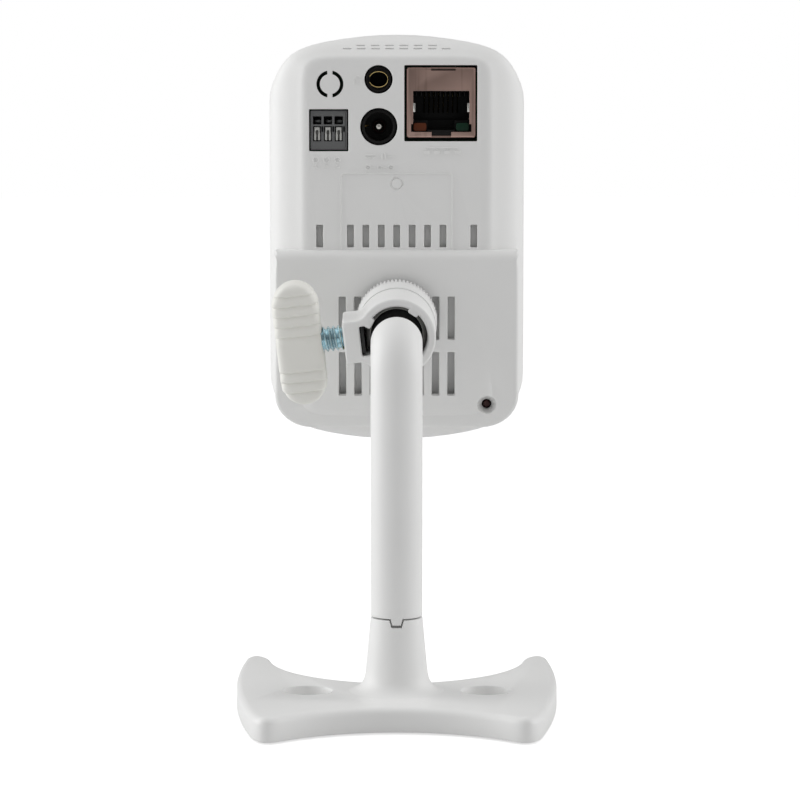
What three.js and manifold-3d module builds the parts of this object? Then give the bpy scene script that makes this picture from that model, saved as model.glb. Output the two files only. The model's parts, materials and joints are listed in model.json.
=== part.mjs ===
// Network security camera on a ball-jointed stand, in millimetres with +Z up.
// The origin is the underside of the base on the post's axis. The rear of the head, with
// its sockets, faces -Y and the lens looks along +Y. Every piece is its own named mesh.
import * as THREE from 'three';
import { mergeVertices } from 'three/addons/utils/BufferGeometryUtils.js';
import Module from 'manifold-3d';

const wasm = await Module();
wasm.setup();

// ---------------------------------------------------------------- driving dimensions

const GAP = 0.3;
const DEGREE = Math.PI / 180;

const BASE = {
  top: 5.4, rimLow: 0.4, edge: 1.8, pocketTop: 3.4, pocketInset: 2.6, pocketBack: 30,
  sideRadius: 220, halfWidth: 33.6, sideY: 20,
  frontRadius: 33, frontY: -52.5, backHalf: 27.3, backDepth: 32, backY: 41,
};
const WALL_HOLE = { x: 18.3, headRadius: 5.05, seat: 2.6, radius: 2.3, boss: 6.8 };
const FOOT_PAD = { thick: 0.8, inset: 4.2 };
const BALLAST = { low: 1.1, high: 3.1, inset: 4 };

const POST = { seam: 20.6, topRadius: 5.3, lowRadius: 6.1, lowZ: 7.5, footRadius: 8.6, bore: 3.6 };
const KEY = { topWidth: 2.6, lowWidth: 1.7, drop: 0.95, notchTop: 3.3, notchLow: 2.1, notchDrop: 1.5 };
const SPIGOT = { radius: 3.3, low: 8.6, tap: 2 };
const ARM_SCREW = { shank: 1.7, head: 3.6, headLow: 3.6, web: 5.9, webTop: 8.2, top: 18 };

const TUBE_RADIUS = 5.3;
const TUBE_SIDES = 24;
const TILT = 6 * DEGREE;
const ROLL = -6.5 * DEGREE;
const PANEL_PIVOT = { y: 32, z: 79.8 };
const BALL_TO_PANEL = 16.5;

const BALL = { radius: 6.3, neck: 2.6, shoulder: -9.8, tail: -13.3 };
const LINER = { inner: 6.55, outer: 6.75, cupAngle: 45, ringFrom: 109, ringTo: 125 };
const CLAMP = {
  radius: 8.1, front: -7.5, back: 5.1, cavity: 7.1, mouth: 6.4, mouthEnd: -2.5,
  hubRadius: 6.2, hubEnd: 10.4, lugReach: 10.9, lugHalf: 4.4,
};
const TAB = { angles: [145, 50], halfWidth: 1.1, reach: 5.7, depth: 1.4 };
const PAD = { outer: 7.5, inner: 6.6, half: 2.9, front: -6.2, back: 2.9, slot: 8.6, slotHalf: 3.2 };
const SCREW = { radius: 2.65, start: 7.8, end: 22, bore: 2.95 };
const KNOB = { near: 15.4, far: 25.2, half: 12.75, thick: 7.8, edge: 0.9 };
const STUD = { radius: 3.1, clear: 3.45, flange: 4.4, flangeLow: 8.2, flangeHigh: 9.2, end: 21.7 };
const RING = { radius: 8.55, front: 5.7, back: 14.9, recess: 6.5, recessEnd: 11 };
const WASHER = { radius: 7.8, front: 15.2, back: 16.2 };
const INSERT = { radius: 5, front: 16.8, back: 23.3, boss: 7.2 };

const HEAD = { half: 27.3, low: 52.8, high: 139.7, end: 14.2, power: 2.2 };
const FACE = { half: 19.7, low: 60, high: 134.9, end: 14.2, power: 9 };
const REAR_Y = 33;
const SEAM_Y = 42;
const FRONT_Y = 71;
const FRONT_ROUND = 6;
const WALL = 1.8;
const BLOCK = { half: 26.1, low: 55.9, high: 94.1, topY: 30.5, round: 2.5, cornerX: 8, cornerZ: 7 };

const NET_HOLE = { x0: 1.6, x1: 17.1, z0: 117.1, z1: 133.2 };
const NET_SHIELD = { x0: 2.1, x1: 16.75, z0: 117.87, z1: 132.75, y0: 33.4, y1: 47.9, wall: 0.4 };
const NET_MOUTH = { x0: 3.49, x1: 15.41, z0: 119.1, z1: 127.73, latch0: 7.4, latch1: 11.55 };
const POWER = { x: -3.8, z: 120.2, radius: 3.95 };
const AUDIO = { x: -3.85, z: 130.2, radius: 3 };
const KNOCKOUT = { x: -14.15, z: 129.2, outer: 2.87, inner: 2.12, bridge: 0.75 };
const TERMINAL = { x0: -18.6, x1: -10.25, z0: 115, z1: 123.9 };
const WIRE = { xs: [-16.9, -14.6, -12.3], half: 0.9, z0: 120.7, z1: 122.4 };
const LEVER = { half: 0.65, z0: 117.3, z1: 120.1, y0: 33.9, y1: 38.4, travel: 1, slack: 0.2 };
const RESET = { x: 19.3, z: 60.8, radius: 1.85, boss: 3.15, floor: 36.6, hole: 1.03, bossEnd: 39.2 };
const SLOT = { pitch: 3.28, width: 1.45, places: [-5, -3, -2, -1, 0, 1, 2, 3, 5], z0: 94.1, z1: 99.4 };
const LOW_SLOT = { columns: 8, pitch: 3.31, width: 1.5, rows: [[74.9, 84.2], [63, 72.2]] };

const BOARD = { y0: 48.2, y1: 49.8, half: 23.6, low: 56.6, high: 135.4 };
const LENS = { z: 114, hole: 9.6, bezel: 9.3, barrel: 6.4 };
const WINDOW = { half: 17.5, low: 95.5, high: 132.5, end: 17, power: 2.4, y0: 70, y1: 71.6 };
const MOTION = { z: 80, radius: 5.4 };
const LAMP = { x: -12.5, z: 80, radius: 2.6 };
const STATUS = { z: 91, radius: 0.9 };
const MIC = { x: 12.5, z: 80, radius: 0.7 };
const SPEAKER = { z: 66.6, radius: 6.8 };

// ---------------------------------------------------------------- materials

const paint = (color, roughness, metalness = 0) => ({ color, roughness, metalness });
const WHITE = paint(0xf1f1f0, 0.38);
const KNOB_WHITE = paint(0xe9e8e3, 0.45);
const BLACK = paint(0x15161a, 0.4);
const STEEL = paint(0xb8bcc0, 0.3, 1);
const ZINC = paint(0xa9b9c4, 0.3, 1);
const BRASS = paint(0xc9a961, 0.32, 1);
const RUBBER = paint(0x26272a, 0.85);
const SHIELD = paint(0x8b7f76, 0.4, 1);
const GREY = paint(0x83868a, 0.5);
const BOARD_GREEN = paint(0x1e5a3a, 0.5);
const GLASS = paint(0x20242c, 0.05);
const AMBER = paint(0xc4581a, 0.35);
const GREEN = paint(0x1c5540, 0.35);
const DARK_RED = paint(0x4a1c1a, 0.45);

// ---------------------------------------------------------------- geometry helpers

function solid(geometry) {
  const bare = geometry.clone();
  bare.deleteAttribute('normal');
  bare.deleteAttribute('uv');
  const merged = mergeVertices(bare, 1e-4);
  return new wasm.Manifold(new wasm.Mesh({
    numProp: 3,
    vertProperties: new Float32Array(merged.attributes.position.array),
    triVerts: new Uint32Array(merged.index.array),
  }));
}

function geometryOf(manifold) {
  const mesh = manifold.getMesh();
  const geometry = new THREE.BufferGeometry();
  geometry.setAttribute('position', new THREE.BufferAttribute(mesh.vertProperties, 3));
  geometry.setIndex(new THREE.BufferAttribute(mesh.triVerts, 1));
  geometry.computeVertexNormals();
  return geometry;
}

const join = (...parts) => parts.reduce((sum, part) => sum.add(part));
const cut = (body, ...tools) => tools.reduce((rest, tool) => rest.subtract(tool), body);

function block(x0, x1, y0, y1, z0, z1) {
  const box = new THREE.BoxGeometry(x1 - x0, y1 - y0, z1 - z0);
  return box.translate((x0 + x1) / 2, (y0 + y1) / 2, (z0 + z1) / 2);
}

const blockSolid = (...limits) => solid(block(...limits));

// A round bar along Y, from y0 to y1, with its centre line at x, z.
function barY(radius, y0, y1, x = 0, z = 0, sides = 24) {
  return new THREE.CylinderGeometry(radius, radius, y1 - y0, sides).translate(x, (y0 + y1) / 2, z);
}

function barX(radius, x0, x1, sides = 24) {
  const bar = new THREE.CylinderGeometry(radius, radius, x1 - x0, sides);
  return bar.rotateZ(Math.PI / 2).translate((x0 + x1) / 2, 0, 0);
}

function barZ(radius, z0, z1, x = 0, y = 0, sides = 24) {
  const bar = new THREE.CylinderGeometry(radius, radius, z1 - z0, sides);
  return bar.rotateX(Math.PI / 2).translate(x, y, (z0 + z1) / 2);
}

// A turned piece about Y: profile points are [radius, y], from the low end to the high end.
function turned(profile, sides = 24) {
  return new THREE.LatheGeometry(profile.map(([r, y]) => new THREE.Vector2(r, y)), sides);
}

const turnedZ = (profile, sides = 24) => turned(profile, sides).rotateX(Math.PI / 2);

// A flat outline drawn in X and Z, pushed along Y from y0 to y1.
function plateY(shape, y0, y1, curveSegments = 8) {
  const settings = { depth: y1 - y0, bevelEnabled: false, curveSegments };
  return new THREE.ExtrudeGeometry(shape, settings).rotateX(Math.PI / 2).translate(0, y1, 0);
}

function plateZ(shape, z0, z1, curveSegments = 8) {
  const settings = { depth: z1 - z0, bevelEnabled: false, curveSegments };
  return new THREE.ExtrudeGeometry(shape, settings).translate(0, 0, z0);
}

// A skin over rings of points that all have the same count, closed by a fan at each end.
function loft(rings) {
  const count = rings[0].length;
  const middles = [rings[0], rings.at(-1)].map((ring) => {
    const sum = ring.reduce((total, point) => total.add(point), new THREE.Vector3());
    return sum.divideScalar(count);
  });
  const positions = [...rings.flat(), ...middles].flatMap((point) => point.toArray());
  const startMiddle = rings.length * count;
  const lastRing = (rings.length - 1) * count;
  const faces = [];
  for (let i = 0; i < count; i += 1) {
    const next = (i + 1) % count;
    faces.push(startMiddle, i, next);
    faces.push(startMiddle + 1, lastRing + next, lastRing + i);
    for (let row = 0; row < lastRing; row += count) {
      faces.push(row + i, row + count + i, row + count + next);
      faces.push(row + i, row + count + next, row + next);
    }
  }
  const geometry = new THREE.BufferGeometry();
  geometry.setAttribute('position', new THREE.Float32BufferAttribute(positions, 3));
  geometry.setIndex(faces);
  return geometry;
}

const power = (value, exponent) => Math.sign(value) * Math.abs(value) ** exponent;

// A tall outline with straight sides and superelliptic ends, as a ring of points at depth y.
function housingRing(outline, y, steps = 6) {
  const ring = [];
  for (const side of [1, -1]) {
    const middle = side > 0 ? outline.high - outline.end : outline.low + outline.end;
    for (let i = 0; i <= 2 * steps; i += 1) {
      const angle = (side > 0 ? 0 : Math.PI) + (i / (2 * steps)) * Math.PI;
      const x = outline.half * power(Math.cos(angle), 2 / outline.power);
      const z = middle + outline.end * power(Math.sin(angle), 2 / outline.power);
      ring.push(new THREE.Vector3(x, y, z));
    }
  }
  return ring;
}

function inset(outline, distance) {
  return {
    half: outline.half - distance,
    low: outline.low + distance,
    high: outline.high - distance,
    end: outline.end - distance,
    power: outline.power,
  };
}

function between(from, to, share) {
  const mixed = {};
  for (const key of Object.keys(from)) mixed[key] = THREE.MathUtils.lerp(from[key], to[key], share);
  return mixed;
}

function outlineShape(outline, steps = 6) {
  return new THREE.Shape(housingRing(outline, 0, steps).map(({ x, z }) => new THREE.Vector2(x, z)));
}

// The back of the housing: a sloping shoulder from the flat face out to the side walls.
function shoulderRings(flat, full, flatY, sideY, steps) {
  const profile = new THREE.CubicBezierCurve(
    new THREE.Vector2(0, 0), new THREE.Vector2(0.3, 0.24),
    new THREE.Vector2(1, 0.42), new THREE.Vector2(1, 1));
  return profile.getPoints(steps).map((share) => {
    const y = THREE.MathUtils.lerp(flatY, sideY, share.y);
    return housingRing(between(flat, full, share.x), y);
  });
}

// The rounded front of the housing: a quarter ellipse from a flat face to its sides.
function roundedRings(flat, full, flatY, sideY, steps) {
  const rings = [];
  for (let i = 0; i <= steps; i += 1) {
    const turn = (i / steps) * Math.PI / 2;
    const y = THREE.MathUtils.lerp(sideY, flatY, Math.cos(turn));
    rings.push(housingRing(between(flat, full, Math.sin(turn)), y));
  }
  return rings;
}

// ---------------------------------------------------------------- scene helpers

const camera = new THREE.Group();

function addTo(group, name, shape, finish) {
  const geometry = shape.isBufferGeometry ? shape : geometryOf(shape);
  const mesh = new THREE.Mesh(geometry, new THREE.MeshStandardMaterial(finish));
  mesh.name = name;
  group.add(mesh);
}

// Both joint groups have their origin at the ball's centre and +Y along the clamp's axis.
function jointGroup(roll) {
  const group = new THREE.Group();
  const reach = BALL_TO_PANEL;
  const y = PANEL_PIVOT.y - reach * Math.cos(TILT);
  const z = PANEL_PIVOT.z - reach * Math.sin(TILT);
  group.position.set(0, y, z);
  group.rotation.set(TILT, roll, 0);
  camera.add(group);
  return group;
}

const ballGroup = jointGroup(0);
const clampGroup = jointGroup(ROLL);

// A solid given in a joint group's frame, moved into the camera's frame.
function fromGroup(group, shape) {
  group.updateMatrix();
  return shape.transform(group.matrix.toArray());
}

// ---------------------------------------------------------------- stand

const sideCentreX = BASE.halfWidth - BASE.sideRadius;
const sideAngle = (y) => Math.asin((y - BASE.sideY) / BASE.sideRadius);

// The bow-tie plan of the base: hollow front, bulging sides and two legs towards the head.
function basePlan() {
  const plan = new THREE.Shape();
  const frontTurn = 43.3 * DEGREE;
  const legTurn = 10 * DEGREE;
  const [low, high] = [-22.5, 37.5];
  const cornerX = BASE.frontRadius * Math.sin(frontTurn);
  const cornerY = BASE.frontY + BASE.frontRadius * Math.cos(frontTurn);
  const lowX = sideCentreX + BASE.sideRadius * Math.cos(sideAngle(low));
  const highX = sideCentreX + BASE.sideRadius * Math.cos(sideAngle(high));
  const tipX = BASE.backHalf * Math.cos(legTurn);
  const tipY = BASE.backY - BASE.backDepth * Math.sin(legTurn);
  const tipReach = 42.9;
  const quarter = Math.PI / 2;
  plan.absarc(0, BASE.frontY, BASE.frontRadius, quarter + frontTurn, quarter - frontTurn, true);
  plan.quadraticCurveTo(27.8, -33.4, lowX, low);
  plan.absarc(sideCentreX, BASE.sideY, BASE.sideRadius, sideAngle(low), sideAngle(high), false);
  plan.bezierCurveTo(highX, tipReach, tipX + 0.8, tipReach, tipX, tipY);
  plan.absellipse(0, BASE.backY, BASE.backHalf, BASE.backDepth, -legTurn, legTurn - Math.PI, true);
  plan.bezierCurveTo(-tipX - 0.8, tipReach, -highX, tipReach, -highX, high);
  const leftLow = Math.PI - sideAngle(low);
  plan.absarc(-sideCentreX, BASE.sideY, BASE.sideRadius, Math.PI - sideAngle(high), leftLow, false);
  plan.quadraticCurveTo(-27.8, -33.4, -cornerX, cornerY);
  return plan;
}

// The base's plan drawn in from its edge, with each leg cut off short of its tip.
function insetPlan(distance) {
  const points = basePlan().getPoints(5);
  points.pop();
  const moved = points.map((point, i) => {
    const before = points.at(i - 1);
    const after = points[(i + 1) % points.length];
    const along = after.clone().sub(before).normalize();
    return new THREE.Vector2(point.x - along.y * distance, point.y + along.x * distance);
  });
  const clear = (point) => points.every((edge) => edge.distanceTo(point) > 0.97 * distance);
  const kept = moved.filter((point) => point.y < BASE.pocketBack - distance && clear(point));
  return new THREE.Shape(kept);
}

const insetSlab = (distance, z0, z1) => solid(plateZ(insetPlan(distance), z0, z1));

const bothSides = (make) => [-WALL_HOLE.x, WALL_HOLE.x].map(make);

function baseAndPost() {
  const lowest = -2 * BASE.edge;
  const slab = new THREE.ExtrudeGeometry(basePlan(), {
    depth: BASE.top - lowest - 2 * BASE.edge,
    bevelThickness: BASE.edge,
    bevelSize: BASE.edge,
    bevelOffset: -BASE.edge,
    bevelSegments: 2,
    curveSegments: 4,
  }).translate(0, 0, lowest + BASE.edge);
  const trimmed = solid(slab).subtract(blockSolid(-50, 50, -60, 60, -9, BASE.rimLow));
  const post = solid(turnedZ([
    [0, BASE.pocketTop + 0.4],
    [POST.footRadius, BASE.pocketTop + 0.4],
    [POST.footRadius, BASE.top],
    [POST.footRadius - 1.4, BASE.top + 0.5],
    [POST.lowRadius + 0.3, BASE.top + 1.2],
    [POST.lowRadius, POST.lowZ],
    [POST.topRadius, POST.seam],
    [0, POST.seam],
  ], 28));
  let pocket = insetSlab(BASE.pocketInset, BASE.rimLow - 1, BASE.pocketTop);
  for (const boss of bothSides((x) => solid(barZ(WALL_HOLE.boss, -2, 9, x)))) {
    pocket = pocket.subtract(boss);
  }
  const heads = bothSides((x) => solid(barZ(WALL_HOLE.headRadius, WALL_HOLE.seat, 9, x, 0, 28)));
  const holes = bothSides((x) => solid(barZ(WALL_HOLE.radius, -1, 9, x, 0, 16)));
  const socket = solid(barZ(POST.bore, ARM_SCREW.webTop, POST.seam + 1));
  const screwWay = solid(barZ(ARM_SCREW.shank + GAP, 0, POST.seam, 0, 0, 16));
  const headWay = solid(barZ(ARM_SCREW.head + GAP, 0, ARM_SCREW.web));
  const notch = keyPrism(KEY.notchTop, KEY.notchLow, KEY.notchDrop, 3.7);
  return cut(trimmed.add(post), pocket, ...heads, ...holes, socket, screwWay, headWay, notch);
}

// The tapered key at the seam between the post and the arm, on the side away from the head.
function keyPrism(topWidth, lowWidth, drop, innerY) {
  const rise = 0.6;
  const shape = new THREE.Shape([
    new THREE.Vector2(-lowWidth / 2, POST.seam - drop),
    new THREE.Vector2(lowWidth / 2, POST.seam - drop),
    new THREE.Vector2(topWidth / 2, POST.seam + rise),
    new THREE.Vector2(-topWidth / 2, POST.seam + rise),
  ]);
  return solid(plateY(shape, -6, -innerY));
}

function platePiece(distance, z0, z1) {
  const holes = bothSides((x) => solid(barZ(WALL_HOLE.boss + GAP, -2, 9, x)));
  return cut(insetSlab(distance, z0, z1), ...holes);
}

function armScrew() {
  return turnedZ([
    [0, ARM_SCREW.headLow],
    [ARM_SCREW.head, ARM_SCREW.headLow],
    [ARM_SCREW.head, ARM_SCREW.web - GAP],
    [ARM_SCREW.shank, ARM_SCREW.web - GAP],
    [ARM_SCREW.shank, ARM_SCREW.top],
    [0, ARM_SCREW.top],
  ], 14);
}

// A straight upright tube whose top bends over until it lies on the clamp's axis.
function armTube() {
  const turn = Math.PI / 2 - TILT;
  const endY = ballGroup.position.y + BALL.shoulder * Math.cos(TILT);
  const endZ = ballGroup.position.z + BALL.shoulder * Math.sin(TILT);
  const bend = endY / (1 - Math.cos(turn));
  const bendStart = endZ - bend * Math.sin(turn);
  const taper = 1.6 / bend;
  const ringAt = (radius, angle, low = bendStart) => {
    const ring = [];
    for (let i = 0; i < TUBE_SIDES; i += 1) {
      const around = (i / TUBE_SIDES) * 2 * Math.PI;
      const outward = bend - (bend + radius * Math.sin(around)) * Math.cos(angle);
      const height = low + (bend + radius * Math.sin(around)) * Math.sin(angle);
      ring.push(new THREE.Vector3(radius * Math.cos(around), outward, height));
    }
    return ring;
  };
  const rings = [ringAt(TUBE_RADIUS, 0, POST.seam + GAP), ringAt(TUBE_RADIUS, 0)];
  const steps = 7;
  for (let i = 1; i <= steps; i += 1) rings.push(ringAt(TUBE_RADIUS, (i / steps) * (turn - taper)));
  rings.push(ringAt(BALL.neck + 1.3, turn));
  const spigot = solid(barZ(SPIGOT.radius, SPIGOT.low, POST.seam + 2));
  const key = keyPrism(KEY.topWidth, KEY.lowWidth, KEY.drop, 4.1).intersect(
    solid(barZ(TUBE_RADIUS, 0, 40, 0, 0, TUBE_SIDES)));
  const tap = solid(barZ(SPIGOT.tap, 0, ARM_SCREW.top + 1, 0, 0, 16));
  const socketDepth = BALL.tail - 2 * GAP;
  const stemHole = fromGroup(ballGroup, solid(barY(BALL.neck + GAP, socketDepth, 0)));
  return cut(join(outwardSolid(loft(rings)), spigot, key), tap, stemHole);
}

function outwardSolid(geometry) {
  const made = solid(geometry);
  if (made.volume() > 0) return made;
  const index = geometry.index.array;
  for (let i = 0; i < index.length; i += 3) [index[i], index[i + 1]] = [index[i + 1], index[i]];
  return solid(geometry);
}

// ---------------------------------------------------------------- ball joint

// Points on a circle about the ball's centre, by angle from the +Y axis.
function arcProfile(radius, fromAngle, toAngle, steps) {
  const points = [];
  for (let i = 0; i <= steps; i += 1) {
    const angle = THREE.MathUtils.lerp(fromAngle, toAngle, i / steps) * DEGREE;
    points.push([radius * Math.sin(angle), radius * Math.cos(angle)]);
  }
  return points;
}

function ballStud() {
  const neckAngle = 180 - Math.asin(BALL.neck / BALL.radius) / DEGREE;
  return turned([
    [0, BALL.tail],
    [BALL.neck, BALL.tail],
    ...arcProfile(BALL.radius, neckAngle, 0, 8),
  ], 20);
}

function linerCup() {
  const inside = arcProfile(LINER.inner, 0, LINER.cupAngle, 3);
  const outside = arcProfile(LINER.outer, LINER.cupAngle, 0, 3);
  return turned([...inside, ...outside], 20);
}

function linerRing() {
  const inside = arcProfile(LINER.inner, LINER.ringFrom, LINER.ringTo, 2);
  const outside = arcProfile(LINER.outer, LINER.ringTo, LINER.ringFrom, 2);
  return turned([...inside, ...outside, inside[0]], 20);
}

// ---------------------------------------------------------------- clamp

function clampSocket() {
  const bevel = 0.5;
  const shell = solid(turned([
    [0, CLAMP.front],
    [CLAMP.radius - bevel, CLAMP.front],
    [CLAMP.radius, CLAMP.front + bevel],
    [CLAMP.radius, CLAMP.back],
    [CLAMP.hubRadius, CLAMP.back],
    [CLAMP.hubRadius, CLAMP.hubEnd],
    [0, CLAMP.hubEnd],
  ], 32));
  const lug = blockSolid(
    -CLAMP.lugReach, -4, CLAMP.front, CLAMP.back, -CLAMP.lugHalf, CLAMP.lugHalf);
  const cavity = solid(new THREE.SphereGeometry(CLAMP.cavity, 20, 12));
  const mouth = solid(barY(CLAMP.mouth, CLAMP.front - 1, CLAMP.mouthEnd, 0, 0, 28));
  const studWay = solid(barY(STUD.clear, 0, CLAMP.hubEnd + 1));
  const flangeWay = solid(barY(STUD.flange + GAP, STUD.flangeLow - GAP, STUD.flangeHigh + GAP));
  const padWay = blockSolid(-PAD.slot, -4, CLAMP.front + 0.8, PAD.back + GAP,
    -PAD.slotHalf, PAD.slotHalf);
  const padMouth = blockSolid(-PAD.outer + 0.05, -4, CLAMP.front - 1, CLAMP.front + 1,
    -PAD.slotHalf, PAD.slotHalf);
  const insertWay = solid(barX(SCREW.bore + 1, -CLAMP.lugReach - 1, -PAD.slot + 1));
  const hollow = cut(shell.add(lug), cavity, mouth, studWay, flangeWay, padWay, padMouth, insertWay);
  return join(hollow, ...TAB.angles.map(mouthTab));
}

// A short tab that stands inwards at the clamp's mouth, at an angle from +X towards +Z.
function mouthTab(degrees) {
  const tab = block(TAB.reach, CLAMP.mouth + 0.6, CLAMP.front, CLAMP.front + TAB.depth,
    -TAB.halfWidth, TAB.halfWidth);
  return solid(tab.rotateY(-degrees * DEGREE));
}

function ringOf(outer, inner, from, to, make, sides = 24) {
  return solid(make(outer, from, to, sides)).subtract(solid(make(inner, from - 1, to + 1, sides)));
}

const alongY = (radius, from, to, sides) => barY(radius, from, to, 0, 0, sides);

function knob() {
  const middle = (KNOB.near + KNOB.far) / 2;
  const half = (KNOB.far - KNOB.near) / 2 - KNOB.edge;
  const end = KNOB.half - KNOB.edge - half;
  const shape = new THREE.Shape();
  shape.absarc(-middle, end, half, 0, Math.PI, false);
  shape.absarc(-middle, -end, half, Math.PI, 2 * Math.PI, false);
  const paddle = new THREE.ExtrudeGeometry(shape, {
    depth: KNOB.thick - 2 * KNOB.edge,
    bevelThickness: KNOB.edge,
    bevelSize: KNOB.edge,
    bevelSegments: 2,
    curveSegments: 5,
  }).rotateX(Math.PI / 2).translate(0, KNOB.thick / 2 - KNOB.edge, 0);
  return solid(paddle).subtract(solid(barX(SCREW.radius + GAP / 2, -SCREW.end - GAP, 0, 20)));
}

function mountStud() {
  return turned([
    [0, STUD.flangeLow],
    [STUD.flange, STUD.flangeLow],
    [STUD.flange, STUD.flangeHigh],
    [STUD.radius, STUD.flangeHigh],
    [STUD.radius, STUD.end],
    [0, STUD.end],
  ], 16);
}

function lockRing() {
  const body = ringOf(RING.radius, STUD.clear, RING.front, RING.back, alongY, 32);
  return body.subtract(solid(barY(RING.recess, RING.front - 1, RING.recessEnd, 0, 0, 24)));
}

// ---------------------------------------------------------------- head housing

// The raised lower half of the back: a sloping panel with a rounded top edge.
function lowerBlock(outline, backY, shrink) {
  const slope = Math.tan(TILT);
  const topY = outline.topY + shrink;
  const high = outline.high - shrink;
  const low = outline.low + shrink;
  const yAt = (z) => topY + (outline.high - z) * slope;
  const profile = new THREE.Shape();
  profile.moveTo(-backY, low);
  profile.lineTo(-yAt(low), low);
  profile.lineTo(-yAt(high - outline.round), high - outline.round);
  profile.quadraticCurveTo(-topY, high, -topY - outline.round, high);
  profile.lineTo(-backY, high);
  const half = outline.half - shrink;
  const barHalf = half + 5;
  const settings = { depth: 2 * barHalf, bevelEnabled: false, curveSegments: 4 };
  const bar = new THREE.ExtrudeGeometry(profile, settings);
  bar.rotateX(Math.PI / 2).rotateZ(-Math.PI / 2).translate(barHalf, 0, 0);
  const mask = new THREE.Shape();
  mask.moveTo(-half, 100);
  mask.lineTo(-half, low + outline.cornerZ);
  mask.absellipse(-half + outline.cornerX, low + outline.cornerZ,
    outline.cornerX, outline.cornerZ, Math.PI, 1.5 * Math.PI, false);
  mask.absellipse(half - outline.cornerX, low + outline.cornerZ,
    outline.cornerX, outline.cornerZ, 1.5 * Math.PI, 2 * Math.PI, false);
  mask.lineTo(half, 100);
  return outwardSolid(bar).intersect(solid(plateY(mask, 20, 60, 5)));
}

function rearHollow() {
  const rings = shoulderRings(inset(FACE, WALL), inset(HEAD, WALL), REAR_Y + WALL, SEAM_Y, 5);
  rings.push(housingRing(inset(HEAD, WALL), SEAM_Y + 5));
  return outwardSolid(loft(rings)).add(lowerBlock(BLOCK, SEAM_Y + 5, WALL));
}

function ventCuts() {
  const cuts = SLOT.places.map((place) => {
    const x = place * SLOT.pitch;
    return blockSolid(x - SLOT.width / 2, x + SLOT.width / 2, 30, 36, SLOT.z0, SLOT.z1);
  });
  for (const [z0, z1] of LOW_SLOT.rows) {
    for (let i = 0; i < LOW_SLOT.columns; i += 1) {
      const x = (i - (LOW_SLOT.columns - 1) / 2) * LOW_SLOT.pitch;
      cuts.push(blockSolid(x - LOW_SLOT.width / 2, x + LOW_SLOT.width / 2, 25, 37.2, z0, z1));
    }
  }
  return cuts;
}

function knockoutSlit() {
  const { x, z, outer, inner, bridge } = KNOCKOUT;
  const ring = solid(barY(outer, 30, 37, x, z, 20)).subtract(solid(barY(inner, 29, 38, x, z, 20)));
  return ring.subtract(blockSolid(x - bridge / 2, x + bridge / 2, 28, 39, z - 5, z + 5));
}

function portCuts() {
  return [
    blockSolid(NET_HOLE.x0, NET_HOLE.x1, 30, 37, NET_HOLE.z0, NET_HOLE.z1),
    blockSolid(TERMINAL.x0, TERMINAL.x1, 30, 37, TERMINAL.z0, TERMINAL.z1),
    solid(barY(POWER.radius, 30, 37, POWER.x, POWER.z, 28)),
    solid(barY(AUDIO.radius, 30, 37, AUDIO.x, AUDIO.z)),
    knockoutSlit(),
    solid(barY(RESET.radius, 28, RESET.floor, RESET.x, RESET.z, 16)),
    solid(barY(RESET.hole, 28, 42, RESET.x, RESET.z, 12)),
  ];
}

// Each post of the main board: x, z and where it starts in the cover's wall.
const BOARD_POSTS = [[-20, 66, 34.5], [20, 69, 34.4], [-20, 109, 35.6], [20, 109, 35.6]];

function rearCover() {
  const rings = shoulderRings(FACE, HEAD, REAR_Y, SEAM_Y, 7);
  const outer = outwardSolid(loft(rings)).add(lowerBlock(BLOCK, SEAM_Y, 0));
  const lip = cut(
    outwardSolid(loft([
      housingRing(inset(HEAD, WALL + GAP), SEAM_Y - 3),
      housingRing(inset(HEAD, WALL + GAP), SEAM_Y + 2.4),
    ])),
    outwardSolid(loft([
      housingRing(inset(HEAD, WALL + 1.5), SEAM_Y - 4),
      housingRing(inset(HEAD, WALL + 1.5), SEAM_Y + 4),
    ])),
    blockSolid(RESET.x - 2.2, RESET.x + 2.2, 39.3, 45, RESET.z - 2.2, RESET.z + 2.2));
  const insertBoss = fromGroup(ballGroup, solid(barY(INSERT.boss, 17.2, INSERT.back + GAP)));
  const insertWay = fromGroup(ballGroup, solid(barY(INSERT.radius + GAP, 14, 30)));
  const resetBoss = solid(barY(RESET.boss, 35, RESET.bossEnd, RESET.x, RESET.z, 16));
  const posts = BOARD_POSTS.map(([x, z, start]) => (
    solid(barY(2.2, start, BOARD.y0 - GAP, x, z, 16))));
  const postHoles = BOARD_POSTS.map(([x, z]) => solid(barY(1.1, 42, BOARD.y0, x, z, 10)));
  const shell = cut(outer, rearHollow());
  const full = join(shell, lip, insertBoss, resetBoss, ...posts);
  return cut(full, insertWay, ...postHoles, ...portCuts(), ...ventCuts());
}

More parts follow.
